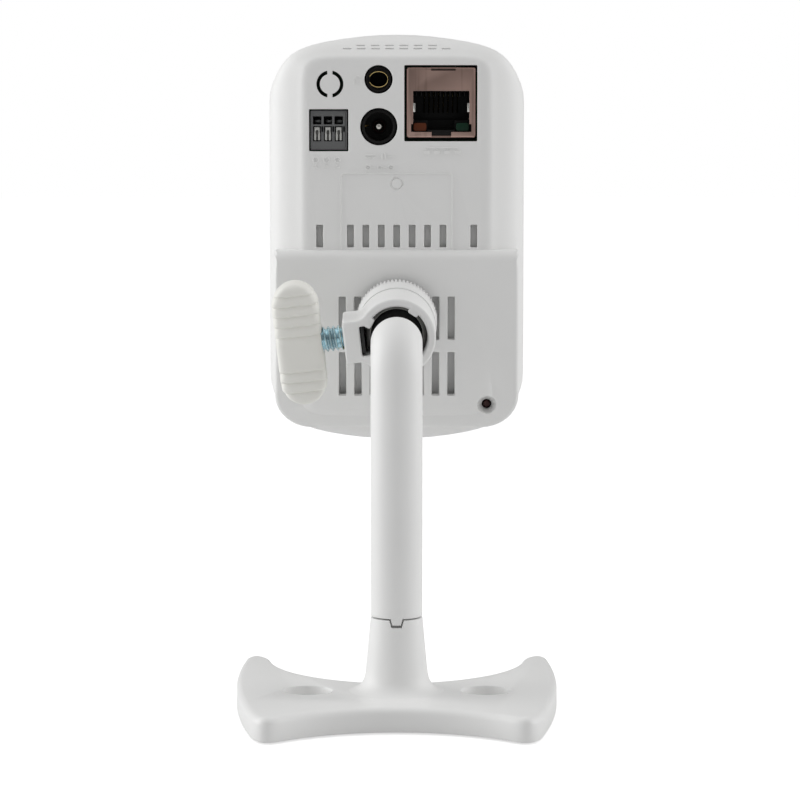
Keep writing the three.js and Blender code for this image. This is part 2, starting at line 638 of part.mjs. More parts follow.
function frontShell() {
  const flat = inset(HEAD, FRONT_ROUND);
  const outerRings = roundedRings(flat, HEAD, FRONT_Y, FRONT_Y - FRONT_ROUND, 5);
  outerRings.push(housingRing(HEAD, SEAM_Y + GAP));
  const innerFlat = inset(flat, WALL);
  const innerSide = inset(HEAD, WALL);
  const innerRings = roundedRings(innerFlat, innerSide, FRONT_Y - WALL, FRONT_Y - FRONT_ROUND, 3);
  innerRings.push(housingRing(innerSide, SEAM_Y - 1));
  const recess = solid(plateY(outlineShape(grown(WINDOW, GAP)), WINDOW.y0 - GAP, 80));
  const behindGlass = solid(plateY(outlineShape(inset(WINDOW, 2)), 60, 80));
  const holes = [
    [MOTION.radius + GAP, 0, MOTION.z],
    [LAMP.radius + GAP, LAMP.x, LAMP.z],
    [STATUS.radius + GAP, 0, STATUS.z],
    [MIC.radius, MIC.x, MIC.z],
  ].map(([radius, x, z]) => solid(barY(radius, 60, 80, x, z, 20)));
  const grille = [];
  for (let row = -2; row <= 2; row += 1) {
    const z = SPEAKER.z + row * 2.3;
    grille.push(blockSolid(-6 + Math.abs(row), 6 - Math.abs(row), 60, 80, z - 0.5, z + 0.5));
  }
  const shell = outwardSolid(loft(outerRings)).subtract(outwardSolid(loft(innerRings)));
  return cut(shell, recess, behindGlass, ...holes, ...grille);
}

const grown = (outline, distance) => inset(outline, -distance);

function ventBaffle() {
  const plate = blockSolid(-17.4, 17.4, 38.3, 39.1, 61, 100.5);
  const insertGap = fromGroup(ballGroup, solid(barY(INSERT.boss + 2 * GAP, 10, 30)));
  return cut(plate, insertGap, solid(barY(RESET.boss + GAP, 30, 45, RESET.x, RESET.z, 16)));
}

// ---------------------------------------------------------------- sockets on the back

function networkShield() {
  const s = NET_SHIELD;
  const m = NET_MOUTH;
  return cut(
    blockSolid(s.x0, s.x1, s.y0, s.y1, s.z0, s.z1),
    blockSolid(s.x0 + s.wall, s.x1 - s.wall, s.y0 + s.wall, s.y1 + 1, s.z0 + s.wall, s.z1 - s.wall),
    blockSolid(m.x0, m.x1, s.y0 - 1, s.y1, m.z0, m.z1),
    blockSolid(m.latch0, m.latch1, s.y0 - 1, s.y0 + 1, s.z0 - 1, m.z0 + 1));
}

const NET_CAVITY = { x0: 3.6, x1: 15.3, z0: 121.5, z1: 127.6, y1: 45.5 };

function networkInsert() {
  const s = NET_SHIELD;
  const edge = s.wall + 0.2;
  const c = NET_CAVITY;
  return cut(
    blockSolid(s.x0 + edge, s.x1 - edge, s.y0 + edge, s.y1 - GAP, s.z0 + edge, s.z1 - edge),
    blockSolid(c.x0, c.x1, s.y0 - 1, c.y1, c.z0, c.z1),
    blockSolid(6.6, 12.3, s.y0 - 1, c.y1 - 3, NET_MOUTH.z0 + 0.4, c.z0 + 1),
    blockSolid(2.8, 6.6, s.y0 - 1, s.y0 + 3, NET_MOUTH.z0 - 0.2, c.z0 + 1),
    blockSolid(12.3, 16.1, s.y0 - 1, s.y0 + 3, NET_MOUTH.z0 - 0.2, c.z0 + 1));
}

const statusLight = (x0, x1) => block(x0, x1, NET_SHIELD.y0 + 0.7, NET_SHIELD.y0 + 2.6,
  NET_MOUTH.z0 + 0.1, NET_MOUTH.z0 + 1.9);

function powerJack() {
  const barrel = solid(barY(POWER.radius - GAP, 33.7, 40, POWER.x, POWER.z, 28));
  const housing = blockSolid(POWER.x - 4.6, POWER.x + 4.6, 39, 47.9, 115.4, 124.6);
  return cut(barrel.add(housing), solid(barY(2.95, 30, 44, POWER.x, POWER.z, 24)));
}

function powerPin() {
  return turned([
    [0, 35],
    [0.7, 35.1],
    [1, 35.6],
    [1, 43.7],
    [0, 43.7],
  ], 14).translate(POWER.x, 0, POWER.z);
}

function audioJack() {
  const barrel = solid(barY(AUDIO.radius - GAP, 33.7, 40, AUDIO.x, AUDIO.z));
  const housing = blockSolid(AUDIO.x - 3.1, AUDIO.x + 3.1, 39, 47.9, 127.1, 132.3);
  return cut(
    barrel.add(housing),
    solid(barY(2.2, 30, 35.2, AUDIO.x, AUDIO.z)),
    solid(barY(1.75, 30, 46, AUDIO.x, AUDIO.z, 16)));
}

function audioContact() {
  const ring = solid(barY(2.1, 34.1, 35, AUDIO.x, AUDIO.z, 20));
  return ring.subtract(solid(barY(1.8, 33, 36, AUDIO.x, AUDIO.z, 20)));
}

function terminalBody() {
  const body = blockSolid(TERMINAL.x0 + GAP, TERMINAL.x1 - GAP, 33.8, 46,
    TERMINAL.z0 + GAP, TERMINAL.z1 - GAP);
  const holes = WIRE.xs.flatMap((x) => [
    blockSolid(x - WIRE.half, x + WIRE.half, 33, 43, WIRE.z0, WIRE.z1),
    blockSolid(x - LEVER.half - LEVER.slack, x + LEVER.half + LEVER.slack, 33,
      LEVER.y1 + LEVER.travel + GAP, LEVER.z0 - LEVER.slack, LEVER.z1 + LEVER.slack),
  ]);
  return cut(body, ...holes);
}

const terminalLever = (x) => block(x - LEVER.half, x + LEVER.half, LEVER.y0, LEVER.y1,
  LEVER.z0, LEVER.z1);

function resetPlunger() {
  return turned([
    [0, 37.1],
    [0.75, 37.1],
    [0.75, 39.6],
    [1.6, 39.6],
    [1.6, 40.9],
    [0, 40.9],
  ], 14).translate(RESET.x, 0, RESET.z);
}

// ---------------------------------------------------------------- electronics

function boardPlate() {
  const outline = { half: BOARD.half, low: BOARD.low, high: BOARD.high, end: 12.2, power: 2.2 };
  const plate = solid(plateY(outlineShape(outline, 5), BOARD.y0, BOARD.y1));
  const holes = BOARD_POSTS.map(([x, z]) => solid(barY(1.5, 47, 51, x, z, 12)));
  return cut(plate, ...holes);
}

function boardScrew([x, z]) {
  return turned([
    [0, 43.5],
    [0.9, 43.5],
    [0.9, BOARD.y1 + GAP],
    [2.2, BOARD.y1 + GAP],
    [2, BOARD.y1 + 1.8],
    [0, BOARD.y1 + 1.8],
  ], 12).translate(x, 0, z);
}

function heatSpreader() {
  const fins = [];
  for (let i = -3; i <= 3; i += 1) {
    fins.push(blockSolid(i * 2.6 - 0.5, i * 2.6 + 0.5, 41, 45, 62, 82));
  }
  return join(blockSolid(-9, 9, 44.6, 46.1, 62, 82), ...fins);
}

function lensHolder() {
  const body = blockSolid(-8.5, 8.5, 56, 62.5, LENS.z - 8.5, LENS.z + 8.5);
  const bore = solid(barY(LENS.barrel + GAP, 58.4, 63, 0, LENS.z));
  const window = blockSolid(-4.6, 4.6, 55, 60, LENS.z - 4.6, LENS.z + 4.6);
  return cut(body, bore, window);
}

function lensBarrel() {
  const body = solid(turned([
    [0, 58.8],
    [LENS.barrel, 58.8],
    [LENS.barrel, 66.5],
    [LENS.barrel + 1, 66.5],
    [LENS.barrel + 1, 71],
    [0, 71],
  ], 22));
  const seat = solid(barY(5.6, 66, 72, 0, 0, 22));
  const bore = solid(barY(3.4, 58, 70, 0, 0, 16));
  return cut(body, seat, bore).translate([0, 0, LENS.z]);
}

function lensGlass() {
  return turned([
    [0, 66.6],
    [5.2, 66.6],
    [5.2, 68.6],
    [4.6, 69.9],
    [2.8, 71],
    [0, 71.4],
  ], 20).translate(0, 0, LENS.z);
}

function lensBezel() {
  return turned([
    [LENS.bezel - 1.4, 67],
    [LENS.bezel, 67],
    [LENS.bezel, 72.6],
    [LENS.bezel - 0.6, 73],
    [LENS.bezel - 1.4, 72.4],
    [LENS.bezel - 1.4, 67],
  ], 28).translate(0, 0, LENS.z);
}

function frontWindow() {
  const plate = solid(plateY(outlineShape(WINDOW), WINDOW.y0, WINDOW.y1));
  const lensHole = solid(barY(LENS.hole, 60, 80, 0, LENS.z, 36));
  return plate.subtract(lensHole);
}

// A shallow dome that looks out of the front, seated on a collar behind the shell.
function frontDome(radius, x, z, rise) {
  return turned([
    [0, 67.4],
    [radius + 0.8, 67.4],
    [radius + 0.8, 68.6],
    [radius, 68.6],
    [radius, FRONT_Y],
    [radius * 0.87, FRONT_Y + rise * 0.5],
    [radius * 0.5, FRONT_Y + rise * 0.87],
    [0, FRONT_Y + rise],
  ], 16).translate(x, 0, z);
}

// ---------------------------------------------------------------- assembly

addTo(camera, 'base_plate', baseAndPost(), WHITE);
addTo(camera, 'foot_pad', platePiece(FOOT_PAD.inset, 0, FOOT_PAD.thick), RUBBER);
addTo(camera, 'ballast_plate', platePiece(BALLAST.inset, BALLAST.low, BALLAST.high), STEEL);
addTo(camera, 'arm_screw', armScrew(), STEEL);
addTo(camera, 'arm_tube', armTube(), WHITE);
addTo(ballGroup, 'ball_stud', ballStud(), BLACK);
addTo(ballGroup, 'liner_cup', linerCup(), GREY);
addTo(ballGroup, 'liner_ring', linerRing(), GREY);

addTo(clampGroup, 'clamp_socket', clampSocket(), WHITE);
addTo(clampGroup, 'clamp_insert',
  ringOf(SCREW.bore + 0.7, SCREW.bore, -CLAMP.lugReach + 0.1, -PAD.slot - 0.15, barX, 16), BRASS);
addTo(clampGroup, 'pressure_pad',
  block(-PAD.outer, -PAD.inner, PAD.front, PAD.back, -PAD.half, PAD.half), BLACK);
addTo(clampGroup, 'clamp_screw', barX(SCREW.radius, -SCREW.end, -SCREW.start, 20), ZINC);
addTo(clampGroup, 'clamp_knob', knob(), KNOB_WHITE);
addTo(clampGroup, 'mount_stud', mountStud(), STEEL);
addTo(clampGroup, 'lock_ring', lockRing(), WHITE);
addTo(clampGroup, 'lock_washer',
  ringOf(WASHER.radius, STUD.clear, WASHER.front, WASHER.back, alongY, 24), RUBBER);
addTo(clampGroup, 'tripod_insert',
  ringOf(INSERT.radius, STUD.clear, INSERT.front, INSERT.back, alongY, 16), BRASS);

addTo(camera, 'rear_cover', rearCover(), WHITE);
addTo(camera, 'front_shell', frontShell(), WHITE);
addTo(camera, 'vent_baffle', ventBaffle(), WHITE);

addTo(camera, 'network_shield', networkShield(), SHIELD);
addTo(camera, 'network_insert', networkInsert(), BLACK);
addTo(camera, 'network_light_amber', statusLight(3.55, 6.3), AMBER);
addTo(camera, 'network_light_green', statusLight(12.6, 15.35), GREEN);
addTo(camera, 'power_jack', powerJack(), BLACK);
addTo(camera, 'power_pin', powerPin(), STEEL);
addTo(camera, 'audio_jack', audioJack(), BLACK);
addTo(camera, 'audio_contact', audioContact(), BRASS);
addTo(camera, 'terminal_body', terminalBody(), GREY);
WIRE.xs.forEach((x, i) => addTo(camera, `terminal_lever_${i + 1}`, terminalLever(x), GREY));
addTo(camera, 'reset_switch', block(17.3, 20.9, 41.6, 47.9, 59.7, 62.7), BLACK);
addTo(camera, 'reset_plunger', resetPlunger(), DARK_RED);

addTo(camera, 'main_board', boardPlate(), BOARD_GREEN);
BOARD_POSTS.forEach((place, i) => addTo(camera, `board_screw_${i + 1}`, boardScrew(place), STEEL));
addTo(camera, 'processor', block(-7, 7, 46.4, 47.9, 65, 79), BLACK);
addTo(camera, 'heat_spreader', heatSpreader(), STEEL);
addTo(camera, 'sensor_board', block(-13, 13, 53, 54.6, LENS.z - 13, LENS.z + 13), BOARD_GREEN);
addTo(camera, 'image_sensor', block(-4, 4, 54.9, 56.4, LENS.z - 4, LENS.z + 4), GLASS);
addTo(camera, 'board_link', block(-6, 6, 50.1, 52.7, LENS.z - 11, LENS.z - 7), BLACK);
addTo(camera, 'lens_holder', lensHolder(), BLACK);
addTo(camera, 'lens_barrel', lensBarrel(), BLACK);
addTo(camera, 'lens_glass', lensGlass(), GLASS);
addTo(camera, 'lens_bezel', lensBezel(), STEEL);
addTo(camera, 'front_window', frontWindow(), BLACK);
addTo(camera, 'motion_lens', frontDome(MOTION.radius, 0, MOTION.z, 1.4), WHITE);
addTo(camera, 'lamp_lens', frontDome(LAMP.radius, LAMP.x, LAMP.z, 0.5), GLASS);
addTo(camera, 'status_light', frontDome(STATUS.radius, 0, STATUS.z, 0.2), GREEN);
addTo(camera, 'microphone', barY(2.4, 65.6, 68.6, MIC.x, MIC.z, 16), BLACK);
addTo(camera, 'speaker', barY(SPEAKER.radius, 64.4, 68.6, 0, SPEAKER.z, 28), BLACK);

export default camera;
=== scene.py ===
"""The finished pieces of a small network camera on its ball-jointed stand."""

import json
from math import asin, atan2, ceil, cos, pi, radians, sin, sqrt, tan

import bmesh
import bpy
from bpy.props import FloatProperty, FloatVectorProperty, IntProperty, PointerProperty
from bpy.types import Operator, Panel, PropertyGroup
from mathutils import Matrix, Vector
from mathutils.geometry import interpolate_bezier

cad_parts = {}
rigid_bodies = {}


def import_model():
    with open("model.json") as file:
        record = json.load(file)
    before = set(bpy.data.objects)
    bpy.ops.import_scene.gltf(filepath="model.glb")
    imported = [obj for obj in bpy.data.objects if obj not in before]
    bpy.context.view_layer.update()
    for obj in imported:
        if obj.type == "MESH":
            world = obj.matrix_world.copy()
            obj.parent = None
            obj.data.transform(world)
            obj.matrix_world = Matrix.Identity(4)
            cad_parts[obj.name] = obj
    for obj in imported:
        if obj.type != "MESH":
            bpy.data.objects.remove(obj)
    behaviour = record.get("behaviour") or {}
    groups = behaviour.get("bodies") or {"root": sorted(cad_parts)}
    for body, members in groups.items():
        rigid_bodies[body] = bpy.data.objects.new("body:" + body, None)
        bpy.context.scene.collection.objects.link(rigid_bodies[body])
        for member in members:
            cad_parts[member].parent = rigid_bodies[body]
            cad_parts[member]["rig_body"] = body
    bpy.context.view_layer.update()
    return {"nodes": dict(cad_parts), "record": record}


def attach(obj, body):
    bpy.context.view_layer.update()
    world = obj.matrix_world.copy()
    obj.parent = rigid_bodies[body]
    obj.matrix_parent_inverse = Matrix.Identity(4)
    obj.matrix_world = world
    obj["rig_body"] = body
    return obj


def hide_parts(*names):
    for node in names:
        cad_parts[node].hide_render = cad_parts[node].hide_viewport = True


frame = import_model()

bl_info = {
    "name": "Network Camera Pieces",
    "version": (1, 0, 0),
    "blender": (4, 5, 0),
    "location": "3D View > Sidebar > Network Camera",
    "description": "Builds the finished pieces of a network camera around its packed model",
    "category": "Object",
}

NODES = frame["nodes"]
MM = 0.001  # shapes are worked out in millimetres, and Blender's unit is the metre

# ------------------------------------------------------------------ driving dimensions

GAP = 0.3
TILT = radians(6)
ROLL = radians(-6.5)
PANEL_Y, PANEL_Z = 32.0, 79.8
BALL_TO_PANEL = 16.5
BALL_Y = PANEL_Y - BALL_TO_PANEL * cos(TILT)
BALL_Z = PANEL_Z - BALL_TO_PANEL * sin(TILT)

HEAD = {"half": 27.3, "low": 52.8, "high": 139.7, "end": 14.2, "power": 2.2}
FACE = {"half": 19.7, "low": 60, "high": 134.9, "end": 14.2, "power": 9}
REAR_Y, SEAM_Y, FRONT_Y = 33.0, 42.0, 71.0
FRONT_ROUND = 6.0
WALL = 1.8
BLOCK = {"half": 26.1, "low": 55.9, "high": 94.1, "top_y": 30.5, "corner_x": 8, "corner_z": 7}
BOARD_POSTS = [(-20, 66), (20, 69), (-20, 109), (20, 109)]
BOARD_Y = 48.2

POST_SEAM = 20.6
TUBE_RADIUS = 5.3
LENS_Z = 114.0
WINDOW = {"half": 17.5, "low": 95.5, "high": 132.5, "end": 17, "power": 2.4}

# ------------------------------------------------------------------ settings


class HousingSizes(PropertyGroup):
    """Edges and marks of the head's two shells."""

    slot_edge: FloatProperty(
        name="Slot edge", description="Width of the small bevel round every slot and socket hole",
        default=0.14 * MM, min=0, unit="LENGTH")
    mark_height: FloatProperty(
        name="Mark height", description="How far the moulded symbols stand out of the back",
        default=0.26 * MM, min=0, unit="LENGTH")
    panel_edge: FloatProperty(
        name="Panel edge", description="Rounding along the sides of the sloping lower panel",
        default=0.9 * MM, min=0, unit="LENGTH")
    panel_top_edge: FloatProperty(
        name="Panel top edge", description="Rounding along the top of the sloping lower panel",
        default=2.4 * MM, min=0, unit="LENGTH")


class StandSizes(PropertyGroup):
    """Edges of the base and the post."""

    base_edge: FloatProperty(
        name="Base edge", description="Rounding along the top of the base",
        default=1.5 * MM, min=0, unit="LENGTH")
    hole_edge: FloatProperty(
        name="Hole edge", description="Rounding round each wall screw hole",
        default=0.35 * MM, min=0, unit="LENGTH")


class ClampSizes(PropertyGroup):
    """Knurls, ribs and thread of the parts that are turned by hand."""

    knurl_count: IntProperty(
        name="Knurls", description="Number of knurls round the lock ring", default=64, min=8)
    knurl_depth: FloatProperty(
        name="Knurl depth", description="Depth of the grooves between the knurls",
        default=0.42 * MM, min=0, unit="LENGTH")
    rib_depth: FloatProperty(
        name="Rib depth", description="Depth of the grip ribs on the knob",
        default=0.42 * MM, min=0, unit="LENGTH")
    thread_pitch: FloatProperty(
        name="Thread pitch", description="Advance of the thumb screw in one turn",
        default=1.06 * MM, min=0.1 * MM, unit="LENGTH")


def colour_property(name, description, default):
    """A colour that a user can change."""
    return FloatVectorProperty(
        name=name, description=description, default=default, min=0, max=1, subtype="COLOR")


class Colours(PropertyGroup):
    """Colours of the finishes, as linear red, green and blue."""

    white_plastic: colour_property(
        "Housing", "Shells, base, arm, clamp and lock ring", (0.87, 0.87, 0.862))
    knob_plastic: colour_property("Knob", "The knob of the thumb screw", (0.87, 0.865, 0.82))
    motion_plastic: colour_property(
        "Motion lens", "Milky lens of the motion sensor", (0.72, 0.72, 0.70))
    ball_black: colour_property("Ball", "Ball of the stand and pad of the clamp", (0.012,) * 3)
    thread_zinc: colour_property("Thread", "Blue zinc of the thumb screw", (0.5, 0.66, 0.72))
    shield_metal: colour_property(
        "Socket shield", "Sheet metal round the network socket", (0.42, 0.29, 0.25))
    terminal_grey: colour_property("Terminal", "Body of the terminal block", (0.13, 0.132, 0.134))
    lever_grey: colour_property("Levers", "Levers of the terminal block", (0.50, 0.50, 0.48))
    light_amber: colour_property("Amber light", "Left light of the socket", (0.10, 0.024, 0.007))
    light_green: colour_property("Green light", "Right light of the socket", (0.004, 0.026, 0.013))
    reset_red: colour_property("Reset pin", "Pin of the reset button", (0.045, 0.008, 0.007))


class StudioSettings(PropertyGroup):
    """Camera place and strength of the studio lights."""

    distance: FloatProperty(
        name="Distance", description="From the lens of the studio camera to the back of the head",
        default=0.7, min=0.2, unit="LENGTH")
    elevation: FloatProperty(
        name="Elevation", description="How far the studio camera looks down",
        default=radians(5.6), subtype="ANGLE")
    side_light: FloatProperty(
        name="Side lights", description="Power of each side panel in watts",
        default=1.9, min=0, subtype="POWER")
    top_light: FloatProperty(
        name="Top light", description="Power of the top panel in watts",
        default=0.8, min=0, subtype="POWER")


def settings():
    """The settings of this model, all of them under one name on the scene."""
    return bpy.context.scene.network_camera


class CameraSettings(PropertyGroup):
    """Everything about the model that a user would change."""

    housing: PointerProperty(type=HousingSizes)
    stand: PointerProperty(type=StandSizes)
    clamp: PointerProperty(type=ClampSizes)
    colours: PointerProperty(type=Colours)
    studio: PointerProperty(type=StudioSettings)


# ------------------------------------------------------------------ shader sheets


class Number:
    """A number on a shader sheet, whose arithmetic adds Math nodes."""

    def __init__(self, sheet, socket):
        self.sheet = sheet
        self.socket = socket

    def maths(self, operation, first, second):
        made = self.sheet.node("ShaderNodeMath", {"operation": operation}, {0: first, 1: second})
        return Number(self.sheet, made.outputs[0])

    def __add__(self, other):
        return self.maths("ADD", self, other)

    def __radd__(self, other):
        return self.maths("ADD", other, self)

    def __sub__(self, other):
        return self.maths("SUBTRACT", self, other)

    def __rsub__(self, other):
        return self.maths("SUBTRACT", other, self)

    def __mul__(self, other):
        return self.maths("MULTIPLY", self, other)

    def __rmul__(self, other):
        return self.maths("MULTIPLY", other, self)

    def __pow__(self, other):
        return self.maths("POWER", self, other)

    def __abs__(self):
        return self.maths("ABSOLUTE", self, 0)

    def clamped(self, low, high, to_low=0, to_high=1):
        """This number's place between low and high, smoothly, as a value on another span."""
        made = self.sheet.node(
            "ShaderNodeMapRange", {"interpolation_type": "SMOOTHSTEP"},
            {0: self, 1: low, 2: high, 3: to_low, 4: to_high})
        return Number(self.sheet, made.outputs[0])


class Sheet:
    """The nodes of one material or of the world."""

    def __init__(self, tree):
        self.tree = tree
        tree.nodes.clear()

    def node(self, kind, options=None, sockets=None):
        """Add a node, set its options, and then give its sockets their values or links."""
        made = self.tree.nodes.new(kind)
        for name, value in (options or {}).items():
            if name == "stops":
                first, last = made.color_ramp.elements
                first.position, first.color = value[0]
                last.position, last.color = value[1]
            else:
                setattr(made, name, value)
        for name, value in (sockets or {}).items():
            if isinstance(value, Number):
                self.tree.links.new(value.socket, made.inputs[name])
            elif isinstance(value, bpy.types.NodeSocket):
                self.tree.links.new(value, made.inputs[name])
            else:
                made.inputs[name].default_value = value
        return made

    def place(self, scale=(1, 1, 1), turn=(0, 0, 0)):
        """Points of the piece in its own frame, stretched and turned."""
        where = self.node("ShaderNodeTexCoord").outputs["Object"]
        made = self.node(
            "ShaderNodeMapping", None, {"Vector": where, "Scale": scale, "Rotation": turn})
        return made.outputs[0]

    def noise(self, scale, detail=2, rough=0.5, where=None):
        made = self.node(
            "ShaderNodeTexNoise", None,
            {"Vector": where or self.place(), "Scale": scale, "Detail": detail,
             "Roughness": rough})
        return Number(self, made.outputs[0])

    def edges(self, low=0.52, high=0.62):
        """1 along outward edges, where a piece wears, and 0 on its flats."""
        made = self.node("ShaderNodeNewGeometry")
        return Number(self, made.outputs["Pointiness"]).clamped(low, high)

    def creases(self, low=0.36, high=0.47):
        """1 in inward creases and 0 on the flats; the finishes darken the colour there."""
        made = self.node("ShaderNodeNewGeometry")
        return 1 - Number(self, made.outputs["Pointiness"]).clamped(low, high)

    def mix(self, share, first, second):
        made = self.node(
            "ShaderNodeMix", {"data_type": "RGBA"}, {0: share, 6: first, 7: second})
        return made.outputs[2]

    def bump(self, height, depth, strength=1.0, under=None):
        sockets = {"Height": height, "Distance": depth, "Strength": strength}
        if under:
            sockets["Normal"] = under
        return self.node("ShaderNodeBump", None, sockets).outputs[0]

    def surface(self, sockets):
        shader = self.node("ShaderNodeBsdfPrincipled", None, sockets)
        self.node("ShaderNodeOutputMaterial", None, {"Surface": shader.outputs[0]})


def shade(colour, factor):
    """A colour made darker or lighter, with its alpha."""
    return tuple(min(1.0, part * factor) for part in colour[:3]) + (1.0,)


def moulded(sheet, colour, rough, grain=2600, depth=7e-6, coat=0.0, specular=0.5):
    """Moulded plastic: a fine spark-eroded grain, slow changes of tone and polished edges."""
    slow = sheet.noise(38, 3)
    patch = sheet.noise(240, 2)
    fine = sheet.noise(grain, 2, 0.6)
    wear = sheet.edges()
    crease_mask = sheet.creases()
    tone = sheet.mix(slow, shade(colour, 0.965), shade(colour, 1.02))
    worn = sheet.mix(wear * 0.2, tone, shade(colour, 1.05))
    sheet.surface({
        # The colour is made darker in inward creases, where the crease mask is high.
        "Base Color": sheet.mix(crease_mask * 0.14, worn, shade(colour, 0.8)),
        "Roughness": rough - 0.05 + slow * 0.06 + patch * 0.06 - wear * 0.05,
        "Specular IOR Level": specular,
        "Coat Weight": coat,
        "Coat Roughness": 0.2,
        "Normal": sheet.bump(fine + patch * 0.6, depth),
    })


def brushed(sheet, colour, rough, along=(1, 1, 60), turn=(0, 0, 0), depth=4e-6):
    """Bare or plated metal with a drawn grain, a few scratches and brighter edges."""
    slow = sheet.noise(160, 3)
    grain = sheet.noise(320, 3, 0.6, sheet.place(along, turn))
    scratch = sheet.noise(900, 1, 0.5, sheet.place((1, 1, 0.04), (0.2, 0.7, 0.1)))
    scored = scratch.clamped(0.63, 0.70)
    wear = sheet.edges()
    tone = sheet.mix(slow, shade(colour, 0.82), shade(colour, 1.12))
    marked = sheet.mix(scored * 0.45, tone, shade(colour, 0.6))
    sheet.surface({
        "Base Color": sheet.mix(wear * 0.5, marked, shade(colour, 1.6)),
        "Metallic": 1.0,
        "Roughness": rough + slow * 0.1 + grain * 0.12 - 0.1,
        "Normal": sheet.bump(grain + scored * 0.8, depth),
    })


def plated(sheet, colour, rough):
    """Passivated zinc: patches of straw and blue over bright metal."""
    slow = sheet.noise(700, 2)
    fine = sheet.noise(6000, 3, 0.6)
    crease_mask = sheet.creases(0.3, 0.48)
    tone = sheet.mix(slow.clamped(0.35, 0.65), shade(colour, 0.75), shade(colour, 1.35))
    sheet.surface({
        # The colour is made much darker in the thread's inward creases, where the crease mask is
        # high.
        "Base Color": sheet.mix(crease_mask * 0.6, tone, shade(colour, 0.25)),
        "Metallic": 1.0,
        "Roughness": rough + fine * 0.15,
        "Normal": sheet.bump(fine, 4e-6),
    })


def rubber(sheet, colour, rough):
    """Soft rubber with a dull, dusty skin."""
    slow = sheet.noise(120, 4)
    fine = sheet.noise(3200, 3, 0.7)
    tone = sheet.mix(slow, shade(colour, 0.8), shade(colour, 1.25))
    sheet.surface({
        "Base Color": sheet.mix(sheet.edges() * 0.4, tone, shade(colour, 1.8)),
        "Roughness": rough - 0.1 + fine * 0.14,
        "Specular IOR Level": 0.3,
        "Normal": sheet.bump(fine, 2e-5),
    })


def lacquered(sheet, colour, rough):
    """A circuit board: green lacquer over raised copper tracks."""
    tracks = sheet.node(
        "ShaderNodeTexBrick", {"offset": 0.35, "squash": 1.6},
        {"Vector": sheet.place((1, 1, 1), (pi / 2, 0, 0)), "Scale": 420, "Mortar Size": 0.03})
    line = Number(sheet, tracks.outputs["Fac"])
    slow = sheet.noise(90, 3)
    base = sheet.mix(slow, shade(colour, 0.85), shade(colour, 1.15))
    sheet.surface({
        "Base Color": sheet.mix(line, base, shade(colour, 1.7)),
        "Roughness": rough + line * 0.12,
        "Coat Weight": 0.4,
        "Coat Roughness": 0.15,
        "Normal": sheet.bump(line, 1.5e-5),
    })


def polished(sheet, colour, rough, coat=1.0, specular=0.6):
    """Coated glass or a glossy window, with faint wipe marks."""
    slow = sheet.noise(60, 3)
    wipe = sheet.noise(300, 2, 0.5, sheet.place((0.3, 1, 2.2), (0, 0.5, 0)))
    tone = sheet.mix(slow, shade(colour, 0.8), shade(colour, 1.25))
    sheet.surface({
        "Base Color": tone,
        "Roughness": rough + wipe * 0.06,
        "Specular IOR Level": specular,
        "Coat Weight": coat,
        "Coat Roughness": 0.03,
        "Normal": sheet.bump(wipe, 8e-7),
    })


def faceted(sheet, colour, rough):
    """Milky sensor lens with small honeycomb facets."""
    cells = sheet.node(
        "ShaderNodeTexVoronoi", {"feature": "DISTANCE_TO_EDGE"},
        {"Vector": sheet.place((1, 0.25, 1)), "Scale": 620, "Randomness": 0.0})
    wall = Number(sheet, cells.outputs["Distance"]).clamped(0.0, 0.12)
    slow = sheet.noise(80, 3)
    tone = sheet.mix(slow, shade(colour, 0.95), shade(colour, 1.05))
    sheet.surface({
        "Base Color": sheet.mix((1 - wall) * 0.35, tone, shade(colour, 0.7)),
        "Roughness": rough + slow * 0.08,
        "Subsurface Weight": 0.15,
        "Subsurface Radius": (0.002, 0.002, 0.002),
        "Normal": sheet.bump(wall, 6e-5),
    })


# Each slot of the record: the way it is finished, its colour where it isn't a setting, and
# the rest of what that finish takes.
FINISHES = {
    "white_plastic": (moulded, None, {"rough": 0.42}),
    "knob_plastic": (moulded, None, {"rough": 0.5, "grain": 3400, "depth": 5e-6}),
    "motion_plastic": (faceted, None, {"rough": 0.38}),
    "ball_black": (moulded, None, {"rough": 0.34, "grain": 5200, "depth": 3e-6}),
    "liner_nylon": (moulded, (0.42, 0.42, 0.40), {"rough": 0.4}),
    "socket_black": (moulded, (0.006, 0.0055, 0.0055), {"rough": 0.42, "specular": 0.2}),
    "terminal_grey": (moulded, None, {"rough": 0.5, "grain": 5000}),
    "lever_grey": (moulded, None, {"rough": 0.4, "grain": 5000}),
    "reset_red": (moulded, None, {"rough": 0.5}),
    "light_amber": (moulded, None, {"rough": 0.4, "specular": 0.2}),
    "light_green": (moulded, None, {"rough": 0.4, "specular": 0.2}),
    "foot_rubber": (rubber, (0.02, 0.02, 0.021), {"rough": 0.85}),
    "thread_zinc": (plated, None, {"rough": 0.12}),
    "shield_metal": (brushed, None, {"rough": 0.34, "turn": (0, 0.75, 0)}),
    "ballast_steel": (brushed, (0.45, 0.46, 0.47), {"rough": 0.42}),
    "screw_steel": (brushed, (0.55, 0.56, 0.57), {"rough": 0.3}),
    "insert_brass": (brushed, (0.62, 0.44, 0.18), {"rough": 0.3}),
    "contact_gold": (brushed, (0.80, 0.56, 0.24), {"rough": 0.22}),
    "pin_nickel": (brushed, (0.66, 0.64, 0.60), {"rough": 0.2}),
    "heat_metal": (brushed, (0.5, 0.51, 0.53), {"rough": 0.38}),
    "bezel_metal": (brushed, (0.48, 0.48, 0.49), {"rough": 0.26}),
    "board_green": (lacquered, (0.012, 0.09, 0.035), {"rough": 0.4}),
    "sensor_glass": (polished, (0.02, 0.022, 0.03), {"rough": 0.08}),
    "optic_glass": (polished, (0.016, 0.012, 0.03), {"rough": 0.02}),
    "window_black": (polished, (0.009, 0.009, 0.010), {"rough": 0.07}),
}


